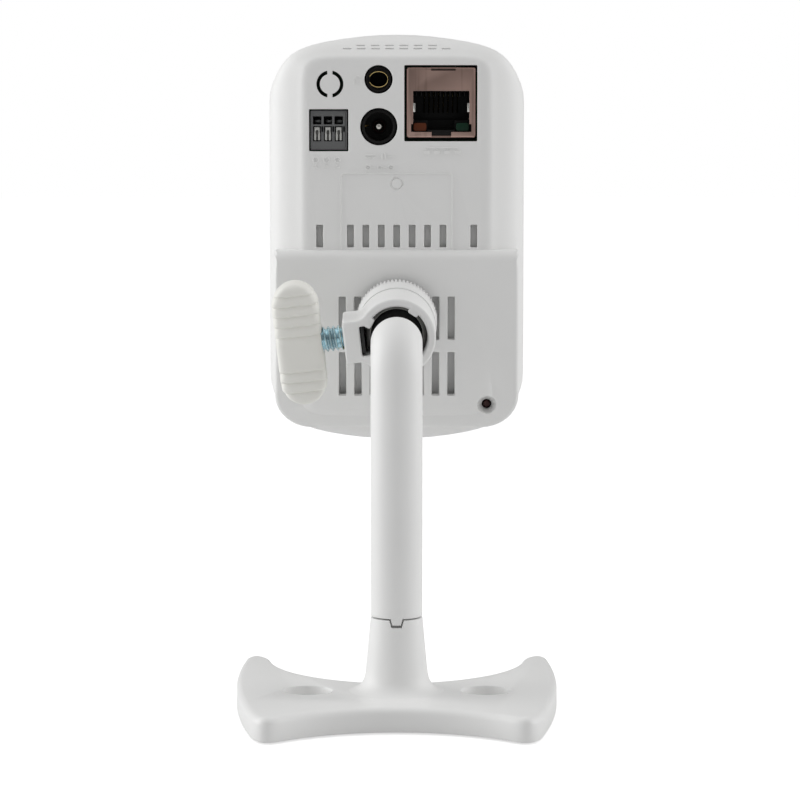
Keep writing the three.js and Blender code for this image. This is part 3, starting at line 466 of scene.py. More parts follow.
def finish(slot):
    """The material of a slot, made once."""
    name = f"{slot}_finish"
    if name in bpy.data.materials:
        return bpy.data.materials[name]
    way, colour, rest = FINISHES[slot]
    material = bpy.data.materials.new(name)
    material.use_nodes = True
    if colour is None:
        colour = getattr(settings().colours, slot)
    way(Sheet(material.node_tree), tuple(colour), **rest)
    return material


# ------------------------------------------------------------------ shapes, in millimetres

UPRIGHT = Matrix(((1, 0, 0, 0), (0, 0, 1, 0), (0, 1, 0, 0), (0, 0, 0, 1)))
SIDEWAYS = Matrix(((0, 1, 0, 0), (1, 0, 0, 0), (0, 0, 1, 0), (0, 0, 0, 1)))
BALL_FRAME = Matrix.Translation((0, BALL_Y, BALL_Z)) @ Matrix.Rotation(TILT, 4, "X")
CLAMP_FRAME = BALL_FRAME @ Matrix.Rotation(ROLL, 4, "Y")
PANEL_FRAME = Matrix.Translation((0, PANEL_Y, PANEL_Z)) @ Matrix.Rotation(TILT, 4, "X")


class Shape:
    """Points in millimetres and the faces between them."""

    def __init__(self, points, faces):
        self.points = [Vector(point) for point in points]
        self.faces = faces

    def __add__(self, other):
        shift = len(self.points)
        moved = [tuple(i + shift for i in face) for face in other.faces]
        return Shape(self.points + other.points, self.faces + moved)

    def at(self, matrix):
        return Shape([matrix @ point for point in self.points], self.faces)

    def mirrored(self):
        return self + Shape([(-p.x, p.y, p.z) for p in self.points], self.faces)


def skin(rings, looped=False):
    """A closed skin over rings of points; a ring of one point is a tip."""
    points = [point for ring in rings for point in ring]
    faces = []
    starts = [0]
    for ring in rings:
        starts.append(starts[-1] + len(ring))
    spans = list(zip(range(len(rings) - 1), range(1, len(rings))))
    if looped:
        spans.append((len(rings) - 1, 0))
    for near, far in spans:
        a, b = starts[near], starts[far]
        count = max(len(rings[near]), len(rings[far]))
        for i in range(count):
            j = (i + 1) % count
            if len(rings[near]) == 1:
                faces.append((a, b + j, b + i))
            elif len(rings[far]) == 1:
                faces.append((a + i, a + j, b))
            else:
                faces.append((a + i, a + j, b + j, b + i))
    if not looped:
        if len(rings[0]) > 1:
            faces.append(tuple(range(len(rings[0]))))
        if len(rings[-1]) > 1:
            faces.append(tuple(range(starts[-2], starts[-1])))
    return Shape(points, faces)


def slab(outline, levels):
    """A solid along Y: outline(grow) gives its points in X and Z for each (y, grow) level."""
    return skin([[Vector((x, y, z)) for x, z in outline(grow)] for y, grow in levels])


def arc(x, z, radius, start, end, steps):
    """Points along an arc, by angle in degrees from +X towards +Z."""
    angles = [radians(start + (end - start) * i / steps) for i in range(steps + 1)]
    return [(x + radius * cos(angle), z + radius * sin(angle)) for angle in angles]


def circle(radius, x=0.0, z=0.0, count=48):
    """The outline of a round bar."""
    def outline(grow):
        return arc(x, z, radius + grow, 0, 360, count)[:-1]
    return outline


def rectangle(x0, x1, z0, z1, corner=0.2, steps=3):
    """The outline of a bar with rounded corners."""
    def outline(grow):
        r = max(corner + grow, 0.02)
        left, right = x0 - grow + r, x1 + grow - r
        low, high = z0 - grow + r, z1 + grow - r
        return (arc(right, low, r, 270, 360, steps) + arc(right, high, r, 0, 90, steps)
                + arc(left, high, r, 90, 180, steps) + arc(left, low, r, 180, 270, steps))
    return outline


def polygon(points):
    """The outline of a many-sided bar, drawn in or out along its corners."""
    def outline(grow):
        drawn = []
        for i, (x, z) in enumerate(points):
            (x0, z0), (x1, z1) = points[i - 1], points[(i + 1) % len(points)]
            along = Vector((x1 - x0, z1 - z0)).normalized()
            drawn.append((x + along.y * grow, z - along.x * grow))
        return drawn
    return outline


def turned(profile, count=48, looped=False):
    """A turned piece about Y from (radius, y) points; a radius of 0 is a tip."""
    rings = []
    for radius, y in profile:
        if radius < 1e-4:
            rings.append([Vector((0, y, 0))])
        else:
            rings.append([Vector((x, y, z)) for x, z in circle(radius, count=count)(0)])
    return skin(rings, looped)


def rounded(radius, y0, y1, edge, steps=4):
    """Profile of a plain bar whose two ends have rounded edges."""
    low = [(radius - edge + edge * sin(a), y0 + edge - edge * cos(a))
           for a in (pi / 2 * i / steps for i in range(steps + 1))]
    high = [(radius - edge + edge * cos(a), y1 - edge + edge * sin(a))
            for a in (pi / 2 * i / steps for i in range(steps + 1))]
    return [(0, y0), *low, *high, (0, y1)]


def edged(y0, y1, edge, steps=3):
    """Levels of a slab whose two ends have rounded edges."""
    low = [(y0 + edge - edge * cos(a), -edge + edge * sin(a))
           for a in (pi / 2 * i / steps for i in range(steps + 1))]
    high = [(y1 - edge + edge * sin(a), -edge + edge * cos(a))
            for a in (pi / 2 * i / steps for i in range(steps + 1))]
    return low + high


def opening(outline, outside, surface, inside, edge):
    """A cutter for a hole that goes in along +Y, with a bevelled rim at the surface."""
    return slab(outline, [(outside, edge), (surface, edge), (surface + edge, 0), (inside, 0)])


def box(x0, x1, y0, y1, z0, z1, edge=0.15):
    """A block with softened edges."""
    return slab(rectangle(x0, x1, z0, z1, edge + 0.02), edged(y0, y1, edge, 2))


def tube_along(points, radius, count=10):
    """A round wire along points."""
    rings = []
    points = [Vector(point) for point in points]
    side = None
    for i, point in enumerate(points):
        ahead = points[min(i + 1, len(points) - 1)]
        behind = points[max(i - 1, 0)]
        along = (ahead - behind).normalized()
        if side is None:
            side = along.orthogonal().normalized()
        side = (side - along * side.dot(along)).normalized()
        across = along.cross(side)
        rings.append([point + radius * (side * cos(2 * pi * k / count)
                                        + across * sin(2 * pi * k / count))
                      for k in range(count)])
    return skin(rings)


# ------------------------------------------------------------------ objects


def solid(name, shape):
    """An object made of a shape, still in millimetres, with its faces turned outwards."""
    mesh = bpy.data.meshes.new(name)
    mesh.from_pydata(shape.points, [], shape.faces)
    work = bmesh.new()
    work.from_mesh(mesh)
    bmesh.ops.remove_doubles(work, verts=work.verts, dist=2e-4)
    bmesh.ops.recalc_face_normals(work, faces=work.faces)
    work.to_mesh(mesh)
    work.free()
    made = bpy.data.objects.new(name, mesh)
    bpy.context.scene.collection.objects.link(made)
    return made


def settle(piece):
    """Work a piece's modifiers into its mesh."""
    graph = bpy.context.evaluated_depsgraph_get()
    mesh = bpy.data.meshes.new_from_object(piece.evaluated_get(graph))
    piece.modifiers.clear()
    old = piece.data
    piece.data = mesh
    bpy.data.meshes.remove(old)


def combine(piece, operation, *shapes):
    """Cut shapes from a piece, join them to it, or keep only what they share."""
    for shape in shapes:
        tool = solid("tool", shape)
        step = piece.modifiers.new(operation, "BOOLEAN")
        step.operation = operation
        step.solver = "EXACT"
        step.object = tool
        settle(piece)
        old = tool.data
        bpy.data.objects.remove(tool)
        bpy.data.meshes.remove(old)


def cut(piece, *shapes):
    combine(piece, "DIFFERENCE", *shapes)


def join(piece, *shapes):
    combine(piece, "UNION", *shapes)


def as_shape(piece):
    """The shape of a finished helper object, which is removed."""
    made = Shape([point.co.copy() for point in piece.data.vertices],
                 [tuple(face.vertices) for face in piece.data.polygons])
    bpy.data.objects.remove(piece)
    return made


def soften(piece, width, segments=2, angle=40):
    """Round a piece's sharp edges."""
    step = piece.modifiers.new("edges", "BEVEL")
    step.width = width
    step.segments = segments
    step.limit_method = "ANGLE"
    step.angle_limit = radians(angle)
    settle(piece)


def place(piece, slot, body, *nodes, angle=32):
    """Finish a piece, let it ride on its body, and let it stand for CAD nodes."""
    piece.data.name = piece.name
    piece.data.transform(Matrix.Scale(MM, 4))
    piece.data.shade_smooth()
    piece.data.set_sharp_from_angle(angle=radians(angle))
    piece.data.materials.clear()
    piece.data.materials.append(finish(slot))
    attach(piece, body)
    if nodes:
        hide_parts(*nodes)
    return piece


def body_of(node):
    return NODES[node]["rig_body"]


def stand_in(piece, slot, *nodes, angle=32):
    """Place a piece on the body of the CAD nodes that it stands for."""
    return place(piece, slot, body_of(nodes[0]), *nodes, angle=angle)


# ------------------------------------------------------------------ housing outlines


def housing_ring(outline, y, steps=14):
    """A tall outline with straight sides and superelliptic ends, at depth y."""
    ring = []
    exponent = 2 / outline["power"]
    for side in (1, -1):
        middle = outline["high"] - outline["end"] if side > 0 else outline["low"] + outline["end"]
        for i in range(2 * steps + 1):
            angle = (0 if side > 0 else pi) + i / (2 * steps) * pi
            c, s = cos(angle), sin(angle)
            x = outline["half"] * (abs(c) ** exponent) * (1 if c >= 0 else -1)
            z = middle + outline["end"] * (abs(s) ** exponent) * (1 if s >= 0 else -1)
            ring.append(Vector((x, y, z)))
    return ring


def inset(outline, distance):
    """An outline drawn in by a distance all round."""
    return {
        "half": outline["half"] - distance,
        "low": outline["low"] + distance,
        "high": outline["high"] - distance,
        "end": outline["end"] - distance,
        "power": outline["power"],
    }


def between(first, second, share):
    return {key: first[key] + (second[key] - first[key]) * share for key in first}


def shoulder(steps):
    """From the flat back to the side wall: (share of the way out, share of the way back)."""
    knots = [Vector((0, 0)), Vector((0.3, 0.24)), Vector((1, 0.42)), Vector((1, 1))]
    curve = interpolate_bezier(knots[0], knots[1], knots[2], knots[3], steps)
    turn = curve[2]
    start = Vector((-0.16, 0))
    corner = [start.lerp(Vector((0, 0)), t).lerp(Vector((0, 0)).lerp(turn, t), t)
              for t in (0, 0.2, 0.4, 0.6, 0.8)]
    return [Vector((-0.22, 0)), *corner, *curve[2:]]


def rear_rings(flat, full, flat_y, side_y, steps=20):
    rings = []
    for out, back in shoulder(steps):
        rings.append(housing_ring(between(flat, full, out), flat_y + (side_y - flat_y) * back))
    return rings


def quarter_rings(flat, full, flat_y, side_y, steps):
    """Rings of an evenly rounded edge, from a flat face to the side wall."""
    rings = []
    for i in range(steps + 1):
        turn = i / steps * pi / 2
        y = side_y + (flat_y - side_y) * cos(turn)
        rings.append(housing_ring(between(flat, full, sin(turn)), y))
    return rings


def panel_y(z):
    """Depth of the sloping lower panel at a height."""
    return BLOCK["top_y"] + (BLOCK["high"] - z) * tan(TILT)


def lower_block(back_y, shrink, side_edge, top_edge):
    """The raised lower half of the back, with rounded edges round its sloping panel."""
    half = BLOCK["half"] - shrink
    low = BLOCK["low"] + shrink
    high = BLOCK["high"] - shrink

    def points(draw):
        """The panel's outline drawn in by a share of its edge's rounding."""
        side, top = side_edge * draw, top_edge * draw
        wide, rise = BLOCK["corner_x"] - side, BLOCK["corner_z"] - side
        bottom = [(cos(a) * wide, sin(a) * rise)
                  for a in (radians(180 + 90 * i / 10) for i in range(11))]
        left = [(-half + side + wide + x, low + side + rise + z) for x, z in bottom]
        right = [(-x, z) for x, z in reversed(left)]
        tall = high - top
        rows = [0.25, 0.5, 0.75]
        start = low + side + rise
        climb = [(half - side, start + (tall - 3 - start) * t) for t in rows]
        corner = [(half - side, tall - 3 + t) for t in (0, 1, 2, 2.6)]
        up = climb + corner
        across = [(half - side - 0.4 - (2 * (half - side) - 0.8) * i / 12, tall)
                  for i in range(13)]
        return left + right + up + across + [(-x, z) for x, z in reversed(up)]

    rings = []
    steps = 6
    for i in range(steps + 1):
        turn = i / steps * pi / 2
        ring = []
        for x, z in points(1 - sin(turn)):
            near_top = min(1.0, max(0.0, (z - (high - top_edge - 2.5)) / 2.5))
            edge = side_edge + (top_edge - side_edge) * near_top
            depth = edge * (1 - cos(turn))
            y = panel_y(min(z, high - top_edge * (1 - sin(turn)))) + shrink + depth
            ring.append(Vector((x, y, z)))
        rings.append(ring)
    rings.append([Vector((p.x, back_y, p.z)) for p in rings[-1]])
    return skin(rings)


def rear_surface(x, turn):
    """A point on the sloping top of the back, with the way out of the surface."""
    def point(across, along):
        curve = shoulder(20)[6:]
        spot = along * (len(curve) - 1)
        i = min(int(spot), len(curve) - 2)
        out, back = curve[i].lerp(curve[i + 1], spot - i)
        outline = between(FACE, HEAD, out)
        rise = 1 - abs(across / outline["half"]) ** outline["power"]
        z = outline["high"] - outline["end"] * (1 - rise ** (1 / outline["power"]))
        return Vector((across, REAR_Y + (SEAM_Y - REAR_Y) * back, z))
    here = point(x, turn)
    over = point(x + 0.05, turn) - here
    along = point(x, turn + 0.02) - here
    normal = over.cross(along).normalized()
    if normal.z < 0:
        normal = -normal
    return here, over.normalized(), normal


def top_vents():
    """Two rows of short slits on the sloping top of the back."""
    shape = None
    rows = [(0.24, 10.4, 3.0, 8), (0.36, 7.6, 3.04, 6)]
    for turn, reach, pitch, count in rows:
        for i in range(count):
            x = (i - (count - 1) / 2) * pitch
            here, over, out = rear_surface(x, turn)
            across = out.cross(over)
            frame_here = Matrix((
                (over.x, out.x, across.x, here.x),
                (over.y, out.y, across.y, here.y),
                (over.z, out.z, across.z, here.z),
                (0, 0, 0, 1)))
            slit = slab(rectangle(-0.95, 0.95, -0.2, 0.2, 0.15, 2),
                        [(-0.45, 0), (-0.05, 0), (0.4, 0.06)]).at(frame_here)
            shape = slit if shape is None else shape + slit
    return shape


# ------------------------------------------------------------------ operators: the housing


class PieceOperator:
    """What every operator here shares."""

    bl_options = {"REGISTER", "UNDO"}


def vent_rows(edge):
    """Cutters for the cooling slots: one row above the panel's edge and two fields below it."""
    pitch, width = 3.28, 1.45
    upper = [opening(rectangle(n * pitch - width / 2, n * pitch + width / 2, 94.6, 99.4, 0.22),
                     31, REAR_Y, 36.5, edge)
             for n in (-5, -3, -2, -1, 0, 1, 2, 3, 5)]
    pitch, width = 3.31, 1.5
    lower = []
    for z0, z1 in ((74.9, 84.2), (63.0, 72.2)):
        for n in range(8):
            x = (n - 3.5) * pitch
            slot = rectangle(x - width / 2, x + width / 2, z0 - PANEL_Z, z1 - PANEL_Z, 0.22)
            lower.append(opening(slot, -3, 0, 4.2, edge).at(PANEL_FRAME))
    return sum(upper[1:] + lower, upper[0])


def knockout(edge):
    """The round knock-out: two thin arcs that leave a disc on two bridges."""
    x, z, outer, inner, bridge = -14.15, 129.2, 2.87, 2.12, 11
    half = (arc(x, z, outer, 90 + bridge, 270 - bridge, 18)
            + arc(x, z, inner, 270 - bridge * 1.3, 90 + bridge * 1.3, 18))
    left = opening(polygon(half), 31, REAR_Y, 36.5, edge * 0.4)
    return left + Shape([(2 * x - p.x, p.y, p.z) for p in left.points], left.faces)


def ring_mark(x, z, radius, width, y0, y1, start=0, end=360):
    """A raised arc or ring on the back."""
    steps = max(8, int((end - start) / 15))
    outer = arc(x, z, radius + width / 2, start, end, steps)
    inner = arc(x, z, radius - width / 2, end, start, steps)
    if end - start < 360:
        return slab(polygon(outer + inner), [(y0, -0.03), (y0 + 0.05, 0), (y1, 0)])
    profile = [(radius - width / 2, y1), (radius - width / 2 + 0.03, y0),
               (radius + width / 2 - 0.03, y0), (radius + width / 2, y1)]
    return turned(profile, 36, looped=True).at(Matrix.Translation((x, 0, z)))


def bar_mark(x0, x1, z0, z1, y0, y1):
    return slab(rectangle(x0, x1, z0, z1, 0.06, 2), [(y0, -0.03), (y0 + 0.05, 0), (y1, 0)])


def socket_marks(height):
    """Moulded symbols beside the sockets: headphones, supply, polarity, network and pins."""
    y0, y1, line = REAR_Y - height, REAR_Y + 0.1, 0.26
    marks = [
        ring_mark(-8.3, 130.1, 0.78, line, y0, y1, 20, 160),
        bar_mark(-9.25, -8.85, 129.2, 130.2, y0, y1),
        bar_mark(-7.75, -7.35, 129.2, 130.2, y0, y1),
        bar_mark(-6.7, -4.5, 114.15, 114.4, y0, y1),
        bar_mark(-6.7, -6.1, 113.5, 113.75, y0, y1),
        bar_mark(-5.9, -5.3, 113.5, 113.75, y0, y1),
        bar_mark(-5.1, -4.5, 113.5, 113.75, y0, y1),
        bar_mark(-3.3, -2.9, 113.3, 114.6, y0, y1),
        bar_mark(-2.6, -2.2, 113.3, 114.6, y0, y1),
        bar_mark(-1.9, -0.5, 113.82, 114.08, y0, y1),
        ring_mark(-6.1, 111.6, 0.5, line, y0, y1),
        bar_mark(-6.35, -5.85, 111.48, 111.72, y0, y1),
        bar_mark(-5.3, -4.4, 111.48, 111.72, y0, y1),
        ring_mark(-3.6, 111.6, 0.42, line, y0, y1),
        bar_mark(-2.85, -1.95, 111.48, 111.72, y0, y1),
        ring_mark(-1.2, 111.6, 0.5, line, y0, y1),
        bar_mark(-1.45, -0.95, 111.48, 111.72, y0, y1),
    ]
    for x in (-17.2, -14.9, -12.6):
        marks.append(ring_mark(x, 113.2, 0.55, line, y0, y1))
        marks.append(bar_mark(x - 0.5, x + 0.5, 111.45, 111.7, y0, y1))
        marks.append(bar_mark(x - 0.13, x + 0.13, 111.9, 112.25, y0, y1))
    for x in (6.3, 8.5, 10.7, 12.9):
        marks.append(bar_mark(x - 0.6, x + 0.6, 114.35, 115.15, y0, y1))
    marks.append(bar_mark(6.3, 12.9, 115.65, 115.88, y0, y1))
    for x in (6.3, 8.5, 10.7, 12.9):
        marks.append(bar_mark(x - 0.11, x + 0.11, 115.3, 115.55, y0, y1))
    return sum(marks[1:], marks[0])


def label_frame():
    """The fine raised line round the place of a label, open at its foot."""
    def outline(inside):
        return rectangle(-12, 12, 93.0, 110.5, 1.0, 5)(-inside)
    rings = []
    for inside, y in ((0, REAR_Y + 0.1), (0.06, REAR_Y - 0.22), (0.26, REAR_Y - 0.22),
                      (0.36, REAR_Y + 0.1)):
        rings.append([Vector((x, y, z)) for x, z in outline(inside)])
    return skin(rings, looped=True)


def gate_dimple():
    """The shallow round gate mark in the middle of the label place."""
    ring = [(0.95, REAR_Y - 1), (0.95, REAR_Y + 0.1), (1.2, REAR_Y + 0.3),
            (1.48, REAR_Y + 0.1), (1.48, REAR_Y - 1)]
    return turned(ring, 36, looped=True).at(Matrix.Translation((0, 0, 108.2)))


class CAMERA_OT_rear_cover(PieceOperator, Operator):
    """Build the rear cover, with its sockets' holes, cooling slots and moulded symbols"""

    bl_idname = "network_camera.rear_cover"
    bl_label = "Rear Cover"

    def execute(self, context):
        sizes = settings().housing
        edge = sizes.slot_edge / MM
        cover = solid("rear_cover", skin(rear_rings(FACE, HEAD, REAR_Y, SEAM_Y)))
        block = lower_block(SEAM_Y, 0, sizes.panel_edge / MM, sizes.panel_top_edge / MM)
        join(cover, block)
        hollow_rings = rear_rings(
            inset(FACE, WALL), inset(HEAD, WALL), REAR_Y + WALL, SEAM_Y, 10)
        hollow_rings.append(housing_ring(inset(HEAD, WALL), SEAM_Y + 5))
        hollow = solid("hollow", skin(hollow_rings))
        join(hollow, lower_block(SEAM_Y + 4.6, WALL, 0.4, 0.8))
        cut(cover, as_shape(hollow))

        lip = solid("lip", skin([
            housing_ring(inset(HEAD, WALL + GAP), SEAM_Y - 3),
            housing_ring(inset(HEAD, WALL + GAP), SEAM_Y + 2.4)]))
        cut(lip, skin([housing_ring(inset(HEAD, WALL + 1.5), SEAM_Y - 4),
                       housing_ring(inset(HEAD, WALL + 1.5), SEAM_Y + 4)]),
            box(17.1, 21.5, 38, 46, 58.6, 63.0, 0.1))
        collar = slab(circle(7.2), [(17.2, 0), (23.6, 0)]).at(BALL_FRAME)
        reset_boss = slab(circle(3.15, 19.3, 60.8, 32), [(35, 0), (39.2, 0)])
        posts = [slab(circle(2.2, x, z, 24), [(34.6 if z < PANEL_Z else 36.2, 0),
                                              (BOARD_Y - GAP, 0)])
                 for x, z in BOARD_POSTS]
        cut(cover,
            opening(rectangle(1.6, 17.1, 117.1, 133.2, 0.25), 31, REAR_Y, 37.4, edge)
            + opening(rectangle(-18.6, -10.25, 115.0, 123.9, 0.2), 31, REAR_Y, 37.4, edge)
            + opening(circle(3.95, -3.8, 120.2, 64), 31, REAR_Y, 37.4, edge)
            + opening(circle(3.0, -3.85, 130.2, 56), 31, REAR_Y, 37.4, edge)
            + knockout(edge),
            vent_rows(edge),
            top_vents(),
            gate_dimple())
        join(cover, socket_marks(sizes.mark_height / MM), label_frame(),
             collar, reset_boss + sum(posts[1:], posts[0]), as_shape(lip))
        cut(cover,
            slab(circle(5.3), [(14, 0), (30, 0)]).at(BALL_FRAME)
            + sum([slab(circle(1.1, x, z, 16), [(42, 0), (50, 0)]) for x, z in BOARD_POSTS[1:]],
                  slab(circle(1.1, *BOARD_POSTS[0], 16), [(42, 0), (50, 0)])),
            turned([(0, 26), (2.05, 26), (2.05, 33.9), (1.72, 34.6), (1.3, 36.1), (1.12, 36.6),
                    (1.03, 36.9), (1.03, 42), (0, 42)], 40).at(
                        Matrix.Translation((19.3, 0, 60.8))))
        stand_in(cover, "white_plastic", "rear_cover", angle=28)
        return {"FINISHED"}


class CAMERA_OT_front_shell(PieceOperator, Operator):
    """Build the front shell, with the window's seat, the sensor holes and the grille"""

    bl_idname = "network_camera.front_shell"
    bl_label = "Front Shell"

    def execute(self, context):
        flat = inset(HEAD, FRONT_ROUND)
        seam = SEAM_Y + GAP
        outer = [housing_ring(inset(flat, 0.6), FRONT_Y)]
        outer += quarter_rings(flat, HEAD, FRONT_Y, FRONT_Y - FRONT_ROUND, 14)
        outer += [housing_ring(HEAD, seam + 0.25), housing_ring(inset(HEAD, 0.12), seam)]
        inner = quarter_rings(inset(flat, WALL), inset(HEAD, WALL), FRONT_Y - WALL,
                              FRONT_Y - FRONT_ROUND, 6)
        inner += [housing_ring(inset(HEAD, WALL), SEAM_Y - 1)]
        shell = solid("front_shell", skin(outer))
        cut(shell, skin(inner))
        seat = [housing_ring(inset(WINDOW, -GAP), y) for y in (69.7, FRONT_Y - 0.15)]
        seat += [housing_ring(inset(WINDOW, -GAP - 0.2), FRONT_Y + 0.05),
                 housing_ring(inset(WINDOW, -GAP - 0.2), 80)]
        way = [housing_ring(inset(WINDOW, 2), y) for y in (60, 80)]
        holes = []
        for radius, x, z in ((5.7, 0, 80), (2.9, -12.5, 80), (1.2, 0, 91), (0.7, 12.5, 80)):
            levels = [(60, 0), (FRONT_Y - 0.15, 0), (FRONT_Y, 0.15), (80, 0.15)]
            holes.append(slab(circle(radius, x, z, 48), levels))
        for row in range(-2, 3):
            z, half = 66.6 + 2.3 * row, 6 - abs(row)
            holes.append(slab(rectangle(-half, half, z - 0.5, z + 0.5, 0.48, 6),
                              [(60, 0), (FRONT_Y - 0.15, 0), (FRONT_Y, 0.15), (80, 0.15)]))
        cut(shell, skin(seat), skin(way), sum(holes[1:], holes[0]))
        stand_in(shell, "white_plastic", "front_shell", angle=28)
        return {"FINISHED"}


class CAMERA_OT_vent_baffle(PieceOperator, Operator):
    """Build the light plate behind the cooling slots, which follows the back of the wall"""

    bl_idname = "network_camera.vent_baffle"
    bl_label = "Vent Baffle"

    def execute(self, context):
        upper, lower, thick = REAR_Y + WALL + 0.5, WALL + 0.7, 0.8
        plate = solid("vent_baffle", box(-17.4, 17.4, upper, upper + thick, 91.5, 101, 0.1))
        slope = box(-13.6, 13.6, lower, lower + thick, 61 - PANEL_Z, 89.5 - PANEL_Z, 0.1)
        bridge = box(-13.2, 13.2, upper - 2.6, upper + thick - 0.1, 88.5, 92.4, 0.1)
        join(plate, slope.at(PANEL_FRAME), bridge)
        cut(plate, slab(circle(7.4), [(8, 0), (30, 0)]).at(BALL_FRAME))
        stand_in(plate, "white_plastic", "vent_baffle")
        return {"FINISHED"}


# ------------------------------------------------------------------ operators: the stand


def base_plan(grow):
    """The bow-tie plan of the base: hollow front, bulging sides and two legs at the back."""
    side_radius, half, side_y = 220, 33.6, 20
    centre = half - side_radius
    front_turn, leg_turn = 43.3, 10
    quarter = arc(0, -52.5, 33, 90, 90 - front_turn, 14)
    corner = Vector(quarter[-1])
    low = asin((-22.5 - side_y) / side_radius)
    high = asin((37.5 - side_y) / side_radius)
    side = [(centre + side_radius * cos(a), side_y + side_radius * sin(a))
            for a in (low + (high - low) * i / 16 for i in range(17))]
    tip = Vector((27.3 * cos(radians(leg_turn)), 41 - 32 * sin(radians(leg_turn))))
    bend = [corner.lerp(Vector((27.8, -33.4)), t).lerp(
        Vector((27.8, -33.4)).lerp(Vector(side[0]), t), t) for t in (i / 10 for i in range(1, 10))]
    end = interpolate_bezier(Vector(side[-1]), Vector((side[-1][0], 42.9)),
                             Vector((tip.x + 0.8, 42.9)), tip, 14)
    back = [(27.3 * cos(a), 41 + 32 * sin(a))
            for a in (radians(-leg_turn - (90 - leg_turn) * i / 20) for i in range(1, 21))]
    right = ([tuple(p) for p in quarter] + [tuple(p) for p in bend] + side
             + [tuple(p) for p in end[1:]] + back)
    left = [(-x, y) for x, y in reversed(right[1:-1])]
    points = right + left
    return polygon(points)(grow)


def pocket_plan(grow):
    """The base's plan drawn in, without the points that would cross at its corners."""
    rim = [Vector(point) for point in base_plan(0)]
    return [point for point in base_plan(grow)
            if min((Vector(point) - other).length for other in rim) > -0.97 * grow]


def counted_levels(low, high, edge, steps=7):
    """Levels of the base: a small lower edge, a side wall and the rounded top edge."""
    top = [(high - edge + edge * sin(a), -edge + edge * cos(a))
           for a in (pi / 2 * i / steps for i in range(steps + 1))]
    return [(low, -0.3), (low + 0.1, -0.1), (low + 0.35, 0)] + top


class CAMERA_OT_base(PieceOperator, Operator):
    """Build the base with its post, wall screw holes and pocket"""

    bl_idname = "network_camera.base"
    bl_label = "Base"

    def execute(self, context):
        sizes = settings().stand
        edge = sizes.base_edge / MM
        rim = sizes.hole_edge / MM
        base = solid("base_plate", slab(base_plan, counted_levels(0.4, 5.4, edge)).at(UPRIGHT))
        post = [(0, 3.9), (10.6, 3.9), (10.6, 5.28), (9.7, 5.42), (8.7, 5.68), (7.85, 6.15),
                (7.2, 6.85), (6.72, 7.8), (6.42, 9.0), (6.24, 10.6),
                (5.34, POST_SEAM - 0.15), (5.2, POST_SEAM), (0, POST_SEAM)]
        join(base, turned(post, 72).at(UPRIGHT))

        pocket = solid("pocket", slab(pocket_plan, [(-1, -2.6), (3.4, -2.6)]).at(UPRIGHT))
        cut(pocket, box(-40, 40, 27.4, 60, -5, 9, 0.02),
            slab(circle(6.8, 18.3, 0, 40), [(-3, 0), (9, 0)]).at(UPRIGHT).mirrored())
        seat = [(0, 2.6), (4.75, 2.6), (5.05, 2.9), (5.05, 5.4 - rim), (5.05 + rim * 0.3,
                5.4 - rim * 0.3), (5.05 + rim, 5.42), (5.05 + rim, 9), (0, 9)]
        shank = [(0, -1), (2.3, -1), (2.3, 2.45), (2.5, 2.65), (2.5, 5), (0, 5)]
        beside = Matrix.Translation((18.3, 0, 0))
        cut(base, as_shape(pocket),
            turned(seat, 64).at(beside @ UPRIGHT).mirrored(),
            turned(shank, 32).at(beside @ UPRIGHT).mirrored(),
            turned([(0, 8.2), (3.6, 8.2), (3.6, POST_SEAM - 0.15), (3.9, POST_SEAM + 0.1),
                    (3.9, 30), (0, 30)], 40).at(UPRIGHT),
            turned([(0, 0), (3.9, 0), (3.9, 5.9), (2.0, 5.9), (2.0, 9), (0, 9)], 32).at(UPRIGHT),
            slab(polygon([(-1.05, POST_SEAM - 1.5), (1.05, POST_SEAM - 1.5),
                          (1.65, POST_SEAM + 0.6), (-1.65, POST_SEAM + 0.6)]),
                 [(-7, 0), (-3.7, 0)]))
        stand_in(base, "white_plastic", "base_plate", angle=30)
        return {"FINISHED"}


